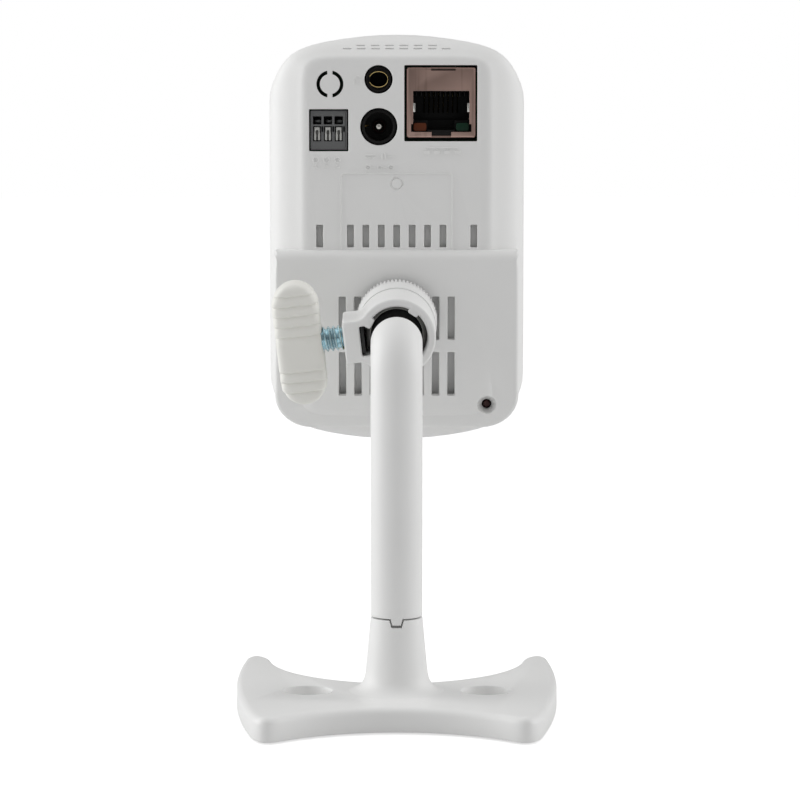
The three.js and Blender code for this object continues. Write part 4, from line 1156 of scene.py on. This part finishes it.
class CAMERA_OT_arm(PieceOperator, Operator):
    """Build the arm: a straight tube with an elbow, its key and its spigot"""

    bl_idname = "network_camera.arm"
    bl_label = "Arm"

    def execute(self, context):
        turn = pi / 2 - TILT
        end_y = BALL_Y - 9.8 * cos(TILT)
        end_z = BALL_Z - 9.8 * sin(TILT)
        bend = end_y / (1 - cos(turn))
        start = end_z - bend * sin(turn)
        count = 56

        def ring(radius, angle, low=start):
            points = []
            for i in range(count):
                around = i / count * 2 * pi
                reach = bend + radius * sin(around)
                points.append(Vector((radius * cos(around), bend - reach * cos(angle),
                                      low + reach * sin(angle))))
            return points

        rings = [ring(3.4, 0, POST_SEAM + GAP), ring(5.1, 0, POST_SEAM + GAP),
                 ring(TUBE_RADIUS - 0.06, 0, POST_SEAM + GAP + 0.06),
                 ring(TUBE_RADIUS, 0, POST_SEAM + GAP + 0.2)]
        rings += [ring(TUBE_RADIUS, 0, POST_SEAM + 1 + (start - POST_SEAM - 1) * i / 12)
                  for i in range(13)]
        taper = 1.6 / bend
        rings += [ring(TUBE_RADIUS, (turn - taper) * i / 22) for i in range(1, 23)]
        rings += [ring(3.9 + 1.4 * cos(a), turn - taper * (1 - sin(a)))
                  for a in (radians(15 * i) for i in range(1, 7))]
        arm = solid("arm_tube", skin(rings))
        key = solid("key", slab(
            polygon([(-0.85, POST_SEAM - 0.95), (0.85, POST_SEAM - 0.95),
                     (1.3, POST_SEAM + 0.6), (-1.3, POST_SEAM + 0.6)]), [(-6, 0), (-4.1, 0)]))
        combine(key, "INTERSECT", turned([(0, 10), (5.22, 10), (5.22, 30), (0, 30)], 96)
                .at(UPRIGHT))
        spigot = turned([(0, 8.6), (2.9, 8.6), (3.3, 9.0), (3.3, POST_SEAM + 2),
                         (0, POST_SEAM + 2)], 40)
        join(arm, spigot.at(UPRIGHT), as_shape(key))
        cut(arm, turned([(0, 0), (2, 0), (2, 19), (0, 19)], 24).at(UPRIGHT),
            turned([(0, -13.9), (2.9, -13.9), (2.9, 0), (0, 0)], 32).at(BALL_FRAME))
        stand_in(arm, "white_plastic", "arm_tube", angle=30)
        return {"FINISHED"}


# ------------------------------------------------------------------ operators: ball and clamp


def sphere_profile(radius, start, end, steps):
    """Profile points round the ball's centre, by angle in degrees from the +Y axis."""
    return [(radius * sin(radians(a)), radius * cos(radians(a)))
            for a in (start + (end - start) * i / steps for i in range(steps + 1))]


class CAMERA_OT_ball(PieceOperator, Operator):
    """Build the ball on its stem and the two liners that it turns in"""

    bl_idname = "network_camera.ball"
    bl_label = "Ball Joint"

    def execute(self, context):
        neck_angle = 180 - asin(2.6 / 6.3) * 180 / pi
        profile = [(0, -13.3), (2.35, -13.3), (2.6, -13.05), (2.6, -6.9), (2.72, -6.2),
                   *sphere_profile(6.3, neck_angle - 3.4, 0, 34)]
        profile[-1] = (0, 6.3)
        ball = solid("ball_stud", turned(profile, 64).at(BALL_FRAME))
        stand_in(ball, "ball_black", "ball_stud")
        cup = sphere_profile(6.55, 2, 45, 12) + sphere_profile(6.75, 45, 2, 12)
        ring = sphere_profile(6.55, 109, 125, 6) + sphere_profile(6.75, 125, 109, 6)
        for name, part in (("liner_cup", cup), ("liner_ring", ring)):
            liner = solid(name, turned(part, 56, looped=True).at(BALL_FRAME))
            stand_in(liner, "liner_nylon", name)
        return {"FINISHED"}


def clamp_outline(grow):
    """The clamp's barrel with its lug at the left, seen along the clamp's axis."""
    radius, half, reach, fillet, corner = 8.1 + grow, 4.4 + grow, 10.9 + grow, 3 - grow, 0.5
    centre_x = -sqrt((radius + fillet) ** 2 - (half + fillet) ** 2)
    centre_z = half + fillet
    touch = 180 - atan2(centre_z, -centre_x) * 180 / pi
    upper = arc(0, 0, radius, 0, touch, 40)
    lead_in = arc(centre_x, centre_z, fillet, touch - 180, -90, 12)[1:]
    edge = arc(-reach + corner, half - corner, corner, 90, 180, 4)
    top = upper + lead_in + edge
    return top + [(x, -z) for x, z in reversed(top[1:])]


class CAMERA_OT_clamp(PieceOperator, Operator):
    """Build the clamp barrel with its lug, its bush and its pressure pad"""

    bl_idname = "network_camera.clamp"
    bl_label = "Clamp"

    def execute(self, context):
        front, back = -7.5, 5.1
        levels = [(front, -0.55), (front, -0.42), (front + 0.06, -0.2), (front + 0.2, -0.06),
                  (front + 0.45, 0), (back - 0.15, 0), (back, -0.15)]
        barrel = solid("clamp_socket", slab(clamp_outline, levels).at(CLAMP_FRAME))
        join(barrel, turned([(0, 0), (6.2, 0), (6.2, 10.25), (6.05, 10.4), (0, 10.4)], 64)
             .at(CLAMP_FRAME))
        cavity = turned([(0, -7.1), *sphere_profile(7.1, 178, 2, 30), (0, 7.1)], 56)
        mouth = turned([(0, -9), (6.75, -9), (6.75, front), (6.66, front + 0.06),
                        (6.45, front + 0.25), (6.4, front + 0.4), (6.4, -2.5), (0, -2.5)], 72)
        cut(barrel,
            slab(rectangle(-8.6, -4, -3.2, 3.2, 0.3), [(front + 0.8, 0), (3.2, 0)])
            .at(CLAMP_FRAME),
            slab(rectangle(-7.45, -4.2, -3.1, 3.1, 0.3),
                 [(front - 1, 0.25), (front, 0.25), (front + 0.25, 0), (front + 1, 0)])
            .at(CLAMP_FRAME),
            slab(circle(3.95, count=40), [(-11.9, 0.3), (-10.9, 0.3), (-10.6, 0), (-7.6, 0)])
            .at(CLAMP_FRAME @ SIDEWAYS),
            turned([(0, 2), (3.45, 2), (3.45, 7.9), (4.7, 7.9), (4.7, 9.5), (3.45, 9.5),
                    (3.45, 11.4), (0, 11.4)], 44).at(CLAMP_FRAME),
            cavity.at(CLAMP_FRAME), mouth.at(CLAMP_FRAME))
        tabs = []
        for angle in (145, 50):
            tab = slab(rectangle(5.7, 7.2, -1.1, 1.1, 0.35, 4),
                       [(front + 0.02, -0.12), (front + 0.12, 0), (front + 1.3, 0),
                        (front + 1.4, -0.1)])
            tabs.append(tab.at(CLAMP_FRAME @ Matrix.Rotation(-radians(angle), 4, "Y")))
        join(barrel, *tabs)
        stand_in(barrel, "white_plastic", "clamp_socket", angle=30)

        bush = [(2.95, -10.8), (3.65, -10.8), (3.65, -8.75), (2.95, -8.75)]
        piece = solid("clamp_insert", turned(bush, 40, looped=True).at(CLAMP_FRAME @ SIDEWAYS))
        stand_in(piece, "insert_brass", "clamp_insert")
        pad = box(-7.5, -6.6, -6.2, 2.9, -2.9, 2.9, 0.16).at(CLAMP_FRAME)
        stand_in(solid("pressure_pad", pad), "ball_black", "pressure_pad")
        return {"FINISHED"}


class CAMERA_OT_thumb_screw(PieceOperator, Operator):
    """Build the thumb screw with its cut thread"""

    bl_idname = "network_camera.thumb_screw"
    bl_label = "Thumb Screw"

    def execute(self, context):
        pitch = settings().clamp.thread_pitch / MM
        start, end, count, per_turn = -22.0, -7.8, 40, 14
        rows = ceil((end - start) / pitch * per_turn)
        rings = []
        for row in range(rows + 1):
            x = start + (end - start) * row / rows
            fade = min(1.0, (end - x) / 0.9)
            ring = []
            for i in range(count):
                turn = i / count
                phase = (x / pitch - turn) % 1.0
                rise = min(1.0, max(0.0, (abs(phase - 0.5) * 2 - 0.14) / 0.72))
                radius = 2.65 - 0.56 * rise - 0.5 * (1 - fade)
                ring.append(Vector((x, radius * cos(2 * pi * turn), radius * sin(2 * pi * turn))))
            rings.append(ring)
        screw = solid("clamp_screw", skin(rings).at(CLAMP_FRAME))
        stand_in(screw, "thread_zinc", "clamp_screw", angle=50)
        return {"FINISHED"}


class CAMERA_OT_knob(PieceOperator, Operator):
    """Build the ribbed paddle knob of the thumb screw"""

    bl_idname = "network_camera.knob"
    bl_label = "Knob"

    def execute(self, context):
        depth = settings().clamp.rib_depth / MM
        middle, half_x, half_y, half_z = -20.3, 4.9, 3.9, 12.75
        end = half_z - half_x
        upper = [1.75 + 2.12 * i for i in range(5)]
        lower = [-5.75 - 2.12 * i for i in range(3)]

        def groove(z):
            """Depth of the ribs at a height: each one rises slowly and ends in a step."""
            for ledge in upper + lower:
                above = z - ledge
                if 0 <= above < 0.34:
                    return depth * (1 - above / 0.34) ** 2
                if -1.5 < above < 0:
                    return depth * (1 + above / 1.5) ** 2
            return 0.0

        heights = [half_z * sin(radians(90 * i / 10)) for i in range(-10, 11)]
        heights = sorted({round(-12.7 + 0.1 * i, 3) for i in range(255)}
                         | {round(h, 3) for h in heights})
        rings = []
        for z in heights:
            past = max(0.0, abs(z) - end)
            wide = sqrt(max(half_x ** 2 - past ** 2, 0.0))
            tip = max(0.0, abs(z) - (half_z - 1.8)) / 1.8
            thick = half_y - 1.5 * (1 - sqrt(max(0.0, 1 - tip ** 2)))
            cut_in = groove(z)
            wide = max(wide - 0.4 * cut_in, 0.25)
            ring = []
            for i in range(56):
                angle = 2 * pi * i / 56
                c, s = cos(angle), sin(angle)
                power = 0.42
                x = wide * (abs(c) ** power) * (1 if c >= 0 else -1)
                y = (thick - cut_in) * (abs(s) ** power) * (1 if s >= 0 else -1)
                ring.append(Vector((middle + x, y, z)))
            rings.append(ring)
        knob = solid("clamp_knob", skin(rings).at(CLAMP_FRAME))
        cut(knob, slab(circle(2.8, count=40), [(-22.3, 0), (-15.7, 0), (-15.3, 0.3), (-12, 0.3)])
            .at(CLAMP_FRAME @ SIDEWAYS),
            turned([(0.5, -5), (0.5, -3.86), (0.62, -3.8), (0.74, -3.86), (0.74, -5)], 24,
                   looped=True).at(CLAMP_FRAME @ Matrix.Translation((-18.2, 0, 1.0))))
        stand_in(knob, "knob_plastic", "clamp_knob", angle=35)
        return {"FINISHED"}


class CAMERA_OT_lock_ring(PieceOperator, Operator):
    """Build the knurled lock ring and its rubber washer"""

    bl_idname = "network_camera.lock_ring"
    bl_label = "Lock Ring"

    def execute(self, context):
        sizes = settings().clamp
        knurls, depth = sizes.knurl_count, sizes.knurl_depth / MM
        per_knurl = 8
        shape_of_knurl = (0.0, 0.06, 0.3, 0.8, 1.0, 0.8, 0.3, 0.06)

        def ring(radius, y, cut_in=0.0):
            points = []
            for i in range(knurls * per_knurl):
                angle = 2 * pi * i / (knurls * per_knurl)
                r = radius - cut_in * shape_of_knurl[i % per_knurl]
                points.append(Vector((r * cos(angle), y, r * sin(angle))))
            return points

        rings = [ring(6.5, 11.0), ring(6.5, 6.0), ring(6.75, 5.7), ring(8.0, 5.7),
                 ring(8.22, 5.78), ring(8.35, 6.05), ring(8.38, 10.9), ring(8.40, 11.6),
                 ring(8.55, 11.8, depth * 0.3), ring(8.55, 12.1, depth), ring(8.55, 14.6, depth),
                 ring(8.42, 14.85, depth * 0.8), ring(8.3, 14.9, depth * 0.6), ring(3.45, 14.9),
                 ring(3.45, 11.0)]
        collar = solid("lock_ring", skin(rings, looped=True).at(CLAMP_FRAME))
        stand_in(collar, "white_plastic", "lock_ring", angle=40)
        washer = [(3.45, 15.2), (7.55, 15.2), (7.8, 15.4), (7.8, 16.0), (7.55, 16.2), (3.45, 16.2)]
        piece = solid("lock_washer", turned(washer, 56, looped=True).at(CLAMP_FRAME))
        stand_in(piece, "foot_rubber", "lock_washer")
        return {"FINISHED"}


# ------------------------------------------------------------------ operators: the sockets


class CAMERA_OT_network_socket(PieceOperator, Operator):
    """Build the shielded network socket with its springs, contacts and two lights"""

    bl_idname = "network_camera.network_socket"
    bl_label = "Network Socket"

    def execute(self, context):
        x0, x1, z0, z1, y0, y1 = 2.1, 16.75, 117.87, 132.75, 33.4, 47.9
        bend = 0.42
        shell = solid("network_shield", slab(
            rectangle(x0, x1, z0, z1, 0.55, 5),
            [(y0, -bend), *[(y0 + bend - bend * cos(a), -bend + bend * sin(a))
                            for a in (radians(18 * i) for i in range(1, 6))], (y1, 0)]))
        mouth = rectangle(3.49, 15.41, 119.1, 127.73, 0.12)
        cut(shell,
            slab(rectangle(x0 + 0.4, x1 - 0.4, z0 + 0.4, z1 - 0.4, 0.2),
                 [(y0 + 0.4, 0), (y1 + 1, 0)]),
            slab(mouth, [(y0 - 1, 0.07), (y0, 0.07), (y0 + 0.08, 0), (y0 + 2, 0)])
            + slab(rectangle(7.3, 12.5, 132.05, 134, 0.05), [(y0 - 1, 0), (y0 + 0.9, 0)]),
            slab(rectangle(7.4, 11.55, 116, 119.6, 0.1), [(y0 - 1, 0), (y0 + 1, 0)]),
            slab(rectangle(3.05, 15.85, 119.12, 120.75, 0.05), [(y0 - 1, 0), (y0 + 1, 0)]))
        stand_in(shell, "shield_metal", "network_shield")
        springs = (box(3.45, 3.95, y0 - 0.02, y0 + 0.5, 123.3, 125.2, 0.08)
                   + box(14.95, 15.45, y0 - 0.02, y0 + 0.5, 123.3, 125.2, 0.08))
        place(solid("network_springs", springs), "pin_nickel", body_of("network_shield"))

        insert = solid("network_insert", box(x0 + 0.6, x1 - 0.6, y0 + 0.6, y1 - GAP,
                                             z0 + 0.6, z1 - 0.6, 0.1))
        cut(insert,
            slab(rectangle(3.6, 15.3, 121.5, 127.6, 0.2), [(y0 - 1, 0), (45.5, 0)]),
            slab(rectangle(6.6, 12.3, 119.5, 122.5, 0.2), [(y0 - 1, 0), (42.5, 0)]),
            slab(rectangle(2.8, 6.6, 118.9, 122.5, 0.1), [(y0 - 1, 0), (y0 + 3, 0)]),
            slab(rectangle(12.3, 16.1, 118.9, 122.5, 0.1), [(y0 - 1, 0), (y0 + 3, 0)]))
        rails = [box(4.1 + 1.02 * i, 4.28 + 1.02 * i, 34.6, 45.4, 126.6, 127.8, 0.05)
                 for i in range(11)]
        join(insert, sum(rails[1:], rails[0]))
        stand_in(insert, "socket_black", "network_insert")

        wires = None
        for i in range(8):
            x = 9.45 + (i - 3.5) * 1.02
            wire = tube_along([(x, 45.6, 127.45), (x, 41.2, 127.35), (x, 40.1, 127.1),
                               (x, 39.9, 126.6), (x, 40.4, 126.0), (x, 43.4, 124.0),
                               (x, 44.6, 123.1)], 0.15, 8)
            wires = wire if wires is None else wires + wire
        place(solid("network_contacts", wires), "contact_gold", body_of("network_insert"))

        for name, left, right, slot in (
                ("network_light_amber", 3.55, 6.3, "light_amber"),
                ("network_light_green", 12.6, 15.35, "light_green")):
            lamp = slab(rectangle(left, right, 119.2, 121.0, 0.45, 4),
                        edged(y0 + 0.7, y0 + 2.6, 0.2))
            stand_in(solid(name, lamp), slot, name)
        return {"FINISHED"}


class CAMERA_OT_power_socket(PieceOperator, Operator):
    """Build the power socket with its pin and side spring"""

    bl_idname = "network_camera.power_socket"
    bl_label = "Power Socket"

    def execute(self, context):
        middle = Matrix.Translation((-3.8, 0, 120.2))
        jack = solid("power_jack", turned(rounded(3.65, 33.7, 40, 0.18), 72).at(middle))
        join(jack, box(-8.4, 0.8, 39, 47.9, 115.4, 124.6, 0.2))
        cut(jack, turned([(0, 30), (3.25, 30), (3.25, 33.7), (3.05, 33.85), (2.95, 34.1),
                          (2.95, 41.2), (1.5, 41.4), (1.5, 42.8), (1.2, 44), (0, 44)], 64)
            .at(middle))
        stand_in(jack, "socket_black", "power_jack")
        pin = [(0, 35.0), (0.3, 35.02), (0.55, 35.12), (0.78, 35.35), (0.92, 35.7), (1, 36.2),
               (1, 40.6), (0.86, 40.7), (0.86, 40.9), (1, 41.0), (1, 43.7), (0, 43.7)]
        stand_in(solid("power_pin", turned(pin, 40).at(middle)), "pin_nickel", "power_pin")
        collar = [(1.05, 40.8), (1.4, 40.9), (1.45, 41.25), (1.05, 41.25)]
        place(solid("power_collar", turned(collar, 40, looped=True).at(middle)),
              "reset_red", body_of("power_jack"))
        leaf = tube_along([(-6.6, 35.2, 120.35), (-6.35, 36.2, 120.35), (-6.15, 37.4, 120.35),
                           (-6.3, 38.8, 120.35), (-6.6, 40.0, 120.35)], 0.22, 10)
        place(solid("power_spring", leaf), "insert_brass", body_of("power_jack"))
        return {"FINISHED"}


class CAMERA_OT_audio_socket(PieceOperator, Operator):
    """Build the audio socket with its contact springs"""

    bl_idname = "network_camera.audio_socket"
    bl_label = "Audio Socket"

    def execute(self, context):
        middle = Matrix.Translation((-3.85, 0, 130.2))
        jack = solid("audio_jack", turned(rounded(2.7, 33.7, 40, 0.16), 64).at(middle))
        join(jack, box(-6.95, -0.75, 39, 47.9, 127.1, 132.3, 0.2))
        cut(jack, turned([(0, 30), (2.32, 30), (2.32, 33.7), (2.24, 33.8), (2.2, 33.95),
                          (2.2, 35.2), (1.85, 35.25), (1.75, 35.4), (1.75, 46), (0, 46)], 56)
            .at(middle))
        stand_in(jack, "socket_black", "audio_jack")
        arcs = []
        for side in (1, -1):
            bow = [(2.02 * cos(a), 34.25, side * (1.62 * sin(a) + 0.02))
                   for a in (radians(22 + 138 * i / 18) for i in range(19))]
            arcs.append(tube_along(bow, 0.085, 8).at(middle))
        arcs.append(tube_along([(1.88, 34.3, 0.6), (2.0, 34.4, 0.0), (1.88, 34.3, -0.6)],
                               0.1, 8).at(middle))
        stand_in(solid("audio_contact", sum(arcs[1:], arcs[0])), "contact_gold",
                 "audio_contact")
        return {"FINISHED"}


class CAMERA_OT_terminal_block(PieceOperator, Operator):
    """Build the spring terminal block and its three release levers"""

    bl_idname = "network_camera.terminal_block"
    bl_label = "Terminal Block"

    def execute(self, context):
        x0, x1, z0, z1 = -18.3, -10.55, 115.3, 123.6
        places = (-16.9, -14.6, -12.3)
        body = solid("terminal_body", box(x0, x1, 33.8, 46, z0, z1, 0.12))
        cuts = []
        for x in places:
            cuts.append(opening(rectangle(x - 0.9, x + 0.9, 120.7, 122.4, 0.1), 33, 33.8, 43, 0.12))
            cuts.append(slab(rectangle(x - 0.85, x + 0.85, 117.1, 120.3, 0.08),
                             [(33, 0), (39.7, 0)]))
            cuts.append(slab(rectangle(x + 0.95, x + 1.32, 119.1, 120.3, 0.05),
                             [(33, 0), (36, 0)]))
        cuts.append(slab(rectangle(-10.9, -10.82, 115.9, 123.0, 0.03), [(33, 0), (34.0, 0)]))
        cut(body, sum(cuts[1:], cuts[0]))
        stand_in(body, "terminal_grey", "terminal_body")
        for i, x in enumerate(places):
            lever = solid(f"terminal_lever_{i + 1}",
                          box(x - 0.65, x + 0.65, 33.9, 38.4, 117.3, 120.1, 0.12))
            cut(lever,
                slab(rectangle(x - 0.2, x + 0.2, 116, 118.7, 0.08), [(33, 0), (35.6, 0)]),
                slab(rectangle(x - 0.3, x + 0.3, 118.5, 119.5, 0.24, 4), [(33, 0), (35.4, 0)]),
                slab(rectangle(x - 0.9, x - 0.52, 118.9, 121, 0.15), [(33, 0), (34.6, 0)])
                + slab(rectangle(x + 0.52, x + 0.9, 118.9, 121, 0.15), [(33, 0), (34.6, 0)]))
            stand_in(lever, "lever_grey", f"terminal_lever_{i + 1}")
        clips = [box(x - 0.7, x + 0.7, 41.2, 41.5, 120.9, 121.6, 0.05) for x in places]
        place(solid("terminal_clips", sum(clips[1:], clips[0])), "screw_steel",
              body_of("terminal_body"))
        return {"FINISHED"}


class CAMERA_OT_reset_button(PieceOperator, Operator):
    """Build the pin of the reset button and the switch behind it"""

    bl_idname = "network_camera.reset_button"
    bl_label = "Reset Button"

    def execute(self, context):
        pin = [(0, 37.1), (0.55, 37.14), (0.7, 37.25), (0.75, 37.4), (0.75, 39.6), (1.45, 39.6),
               (1.6, 39.75), (1.6, 40.9), (0, 40.9)]
        stand_in(solid("reset_plunger", turned(pin, 36).at(Matrix.Translation((19.3, 0, 60.8)))),
                 "reset_red", "reset_plunger")
        return {"FINISHED"}


# ------------------------------------------------------------------ operators: the front


class CAMERA_OT_lens(PieceOperator, Operator):
    """Build the lens with its barrel and bezel, and the window around it"""

    bl_idname = "network_camera.lens"
    bl_label = "Lens and Window"

    def execute(self, context):
        middle = Matrix.Translation((0, 0, LENS_Z))
        window = solid("front_window", skin([
            housing_ring(inset(WINDOW, d), y, 24) for y, d in
            ((70.0, 0), (71.3, 0), (71.5, 0.08), (71.6, 0.28), (71.6, 0.5))]))
        cut(window, turned([(0, 60), (9.6, 60), (9.6, 71.45), (9.75, 71.6), (9.75, 80), (0, 80)],
                           96).at(middle))
        stand_in(window, "window_black", "front_window")
        bezel = [(7.9, 67), (9.3, 67), (9.3, 72.3), (9.2, 72.7), (8.95, 72.95), (8.7, 73),
                 (8.4, 72.9), (8.15, 72.6), (7.9, 72.1)]
        stand_in(solid("lens_bezel", turned(bezel, 96, looped=True).at(middle)),
                 "bezel_metal", "lens_bezel")
        steps = []
        for i in range(6):
            radius = 7.1 - i * 0.24
            steps += [(radius, 70.7 - i * 0.3), (radius - 0.12, 70.55 - i * 0.3)]
        barrel = [(3.4, 58.8), (6.4, 58.8), (6.4, 66.5), (7.4, 66.5), (7.4, 70.85), (7.25, 71),
                  *steps, (5.6, 68.7), (5.6, 66), (3.4, 66)]
        stand_in(solid("lens_barrel", turned(barrel, 72, looped=True).at(middle)),
                 "socket_black", "lens_barrel")
        reach, rise = 5.2, 2.2
        radius = (reach ** 2 + rise ** 2) / (2 * rise)
        dome = [(reach * i / 16, 71.35 - radius + sqrt(radius ** 2 - (reach * i / 16) ** 2))
                for i in range(16, -1, -1)]
        glass = [(0, 66.6), (5.05, 66.6), (5.2, 66.75), *dome]
        stand_in(solid("lens_glass", turned(glass, 72).at(middle)), "optic_glass", "lens_glass")
        return {"FINISHED"}


class CAMERA_OT_front_sensors(PieceOperator, Operator):
    """Build the motion lens, the lamp lens, the status light and the microphone"""

    bl_idname = "network_camera.front_sensors"
    bl_label = "Front Sensors"

    def execute(self, context):
        for name, slot, radius, x, z, rise in (
                ("motion_lens", "motion_plastic", 5.4, 0, 80, 1.4),
                ("lamp_lens", "sensor_glass", 2.6, -12.5, 80, 0.5),
                ("status_light", "light_green", 0.9, 0, 91, 0.2)):
            dome = [(radius * cos(a), FRONT_Y + rise * sin(a))
                    for a in (radians(90 * i / 16) for i in range(16))]
            profile = [(0, 67.4), (radius + 0.65, 67.4), (radius + 0.8, 67.55),
                       (radius + 0.8, 68.6), (radius, 68.6), *dome, (0, FRONT_Y + rise)]
            stand_in(solid(name, turned(profile, 64).at(Matrix.Translation((x, 0, z)))),
                     slot, name)
        cup = [(0, 65.6), (2.25, 65.6), (2.4, 65.75), (2.4, 68.45), (2.25, 68.6), (1.1, 68.6),
               (1.0, 68.4), (0, 68.4)]
        stand_in(solid("microphone", turned(cup, 48).at(Matrix.Translation((12.5, 0, 80)))),
                 "socket_black", "microphone")
        cone = [(0, 64.4), (6.5, 64.4), (6.8, 64.7), (6.8, 68.3), (6.6, 68.6), (6.2, 68.6),
                (6.0, 68.3), (5.5, 67.7), (4.9, 68.2), (4.5, 68.3), (4.1, 68.0), (2.2, 66.6),
                (2.0, 66.7), (1.3, 67.3), (0, 67.6)]
        stand_in(solid("speaker", turned(cone, 64).at(Matrix.Translation((0, 0, 66.6)))),
                 "socket_black", "speaker")
        return {"FINISHED"}


class CAMERA_OT_inner_parts(PieceOperator, Operator):
    """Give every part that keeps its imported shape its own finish"""

    bl_idname = "network_camera.inner_parts"
    bl_label = "Inner Parts"

    def execute(self, context):
        for row in frame["record"]["subparts"]:
            node = NODES[row["node"]]
            if node.hide_render:
                continue
            node.data.materials.clear()
            node.data.materials.append(finish(row["material_slot"]))
        return {"FINISHED"}


# ------------------------------------------------------------------ operators: the studio


class CAMERA_OT_studio(PieceOperator, Operator):
    """Set up the floor, the soft lights and the camera"""

    bl_idname = "network_camera.studio"
    bl_label = "Studio"

    def execute(self, context):
        studio = settings().studio
        scene = context.scene
        scene.view_settings.view_transform = "Standard"

        mesh = bpy.data.meshes.new("studio_floor")
        work = bmesh.new()
        bmesh.ops.create_grid(work, x_segments=24, y_segments=24, size=3)
        work.to_mesh(mesh)
        work.free()
        floor = bpy.data.objects.new("studio_floor", mesh)
        scene.collection.objects.link(floor)
        paper = bpy.data.materials.new("studio_paper")
        paper.use_nodes = True
        sheet = Sheet(paper.node_tree)
        pulp = sheet.noise(900, 3)
        seen = sheet.node("ShaderNodeLightPath").outputs["Is Camera Ray"]
        near = sheet.mix(pulp, (0.86, 0.86, 0.86, 1), (0.9, 0.9, 0.9, 1))
        sheet.surface({
            "Base Color": sheet.mix(seen, (0.6, 0.6, 0.6, 1), near),
            "Roughness": 0.85,
            "Specular IOR Level": 0.1,
            "Emission Color": sheet.mix(seen, (0.15, 0.15, 0.15, 1), (0.5, 0.5, 0.5, 1)),
            "Emission Strength": 1.0,
        })
        mesh.materials.append(paper)

        def panel(name, place, aim, size_x, size_y, watts):
            lamp = bpy.data.lights.new(name, "AREA")
            lamp.shape = "RECTANGLE"
            lamp.size, lamp.size_y = size_x, size_y
            lamp.energy = watts
            made = bpy.data.objects.new(name, lamp)
            made.location = place
            made.rotation_euler = (Vector(aim) - Vector(place)).to_track_quat(
                "-Z", "Y").to_euler()
            scene.collection.objects.link(made)

        head = (0, 0.04, 0.08)
        panel("left_panel", (-0.62, 0.10, 0.22), head, 0.5, 0.5, studio.side_light)
        panel("right_panel", (0.62, 0.10, 0.22), head, 0.5, 0.5, studio.side_light * 0.55)
        panel("top_panel", (0, 0.05, 0.75), head, 0.8, 0.8, studio.top_light)

        world = bpy.data.worlds.new("studio_room")
        world.use_nodes = True
        scene.world = world
        room = Sheet(world.node_tree)
        where = room.node("ShaderNodeTexCoord").outputs["Generated"]
        axes = room.node("ShaderNodeSeparateXYZ", None, {0: where})
        sideways = abs(Number(room, axes.outputs[0]))
        upwards = Number(room, axes.outputs[2]).clamped(0.1, 0.95)
        glow = sideways.clamped(0.25, 0.95) * 0.55 + upwards * 0.32 + 0.2
        seen = room.node("ShaderNodeLightPath").outputs["Is Camera Ray"]
        lit = room.node("ShaderNodeBackground", None, {"Color": (1, 1, 1, 1), "Strength": glow})
        plain = room.node("ShaderNodeBackground", None, {"Color": (1, 1, 1, 1), "Strength": 1.0})
        both = room.node("ShaderNodeMixShader", None,
                         {0: seen, 1: lit.outputs[0], 2: plain.outputs[0]})
        room.node("ShaderNodeOutputWorld", None, {"Surface": both.outputs[0]})

        lens = bpy.data.cameras.new("studio_camera")
        lens.lens = 147.4
        lens.sensor_width = 36
        lens.clip_start = 0.01
        view = bpy.data.objects.new("studio_camera", lens)
        aim = Vector((0.7 * MM, REAR_Y * MM, 62 * MM))
        away = Vector((0, -cos(studio.elevation), sin(studio.elevation)))
        view.location = aim + away * studio.distance
        view.rotation_euler = (-away).to_track_quat("-Z", "Y").to_euler()
        scene.collection.objects.link(view)
        scene.camera = view
        return {"FINISHED"}


# ------------------------------------------------------------------ panel and registration

BUILDERS = (
    CAMERA_OT_rear_cover,
    CAMERA_OT_front_shell,
    CAMERA_OT_vent_baffle,
    CAMERA_OT_base,
    CAMERA_OT_arm,
    CAMERA_OT_ball,
    CAMERA_OT_clamp,
    CAMERA_OT_thumb_screw,
    CAMERA_OT_knob,
    CAMERA_OT_lock_ring,
    CAMERA_OT_network_socket,
    CAMERA_OT_power_socket,
    CAMERA_OT_audio_socket,
    CAMERA_OT_terminal_block,
    CAMERA_OT_reset_button,
    CAMERA_OT_lens,
    CAMERA_OT_front_sensors,
    CAMERA_OT_inner_parts,
    CAMERA_OT_studio,
)


class CAMERA_PT_sidebar(Panel):
    """Lists the pieces of the network camera and the settings behind them."""

    bl_idname = "CAMERA_PT_sidebar"
    bl_label = "Network Camera"
    bl_space_type = "VIEW_3D"
    bl_region_type = "UI"
    bl_category = "Network Camera"

    def draw(self, context):
        for group in ("housing", "stand", "clamp", "colours", "studio"):
            part = getattr(context.scene.network_camera, group)
            column = self.layout.column(align=True)
            for name in part.bl_rna.properties.keys():
                if name not in ("rna_type", "name"):
                    column.prop(part, name)
        for builder in BUILDERS:
            self.layout.operator(builder.bl_idname)


CLASSES = (HousingSizes, StandSizes, ClampSizes, Colours, StudioSettings, CameraSettings,
           *BUILDERS, CAMERA_PT_sidebar)


def register():
    for cls in CLASSES:
        bpy.utils.register_class(cls)
    bpy.types.Scene.network_camera = PointerProperty(type=CameraSettings)


def unregister():
    del bpy.types.Scene.network_camera
    for cls in reversed(CLASSES):
        bpy.utils.unregister_class(cls)


def main():
    register()
    for builder in BUILDERS:
        group, name = builder.bl_idname.split(".")
        getattr(getattr(bpy.ops, group), name)()


if __name__ == "__main__":
    main()
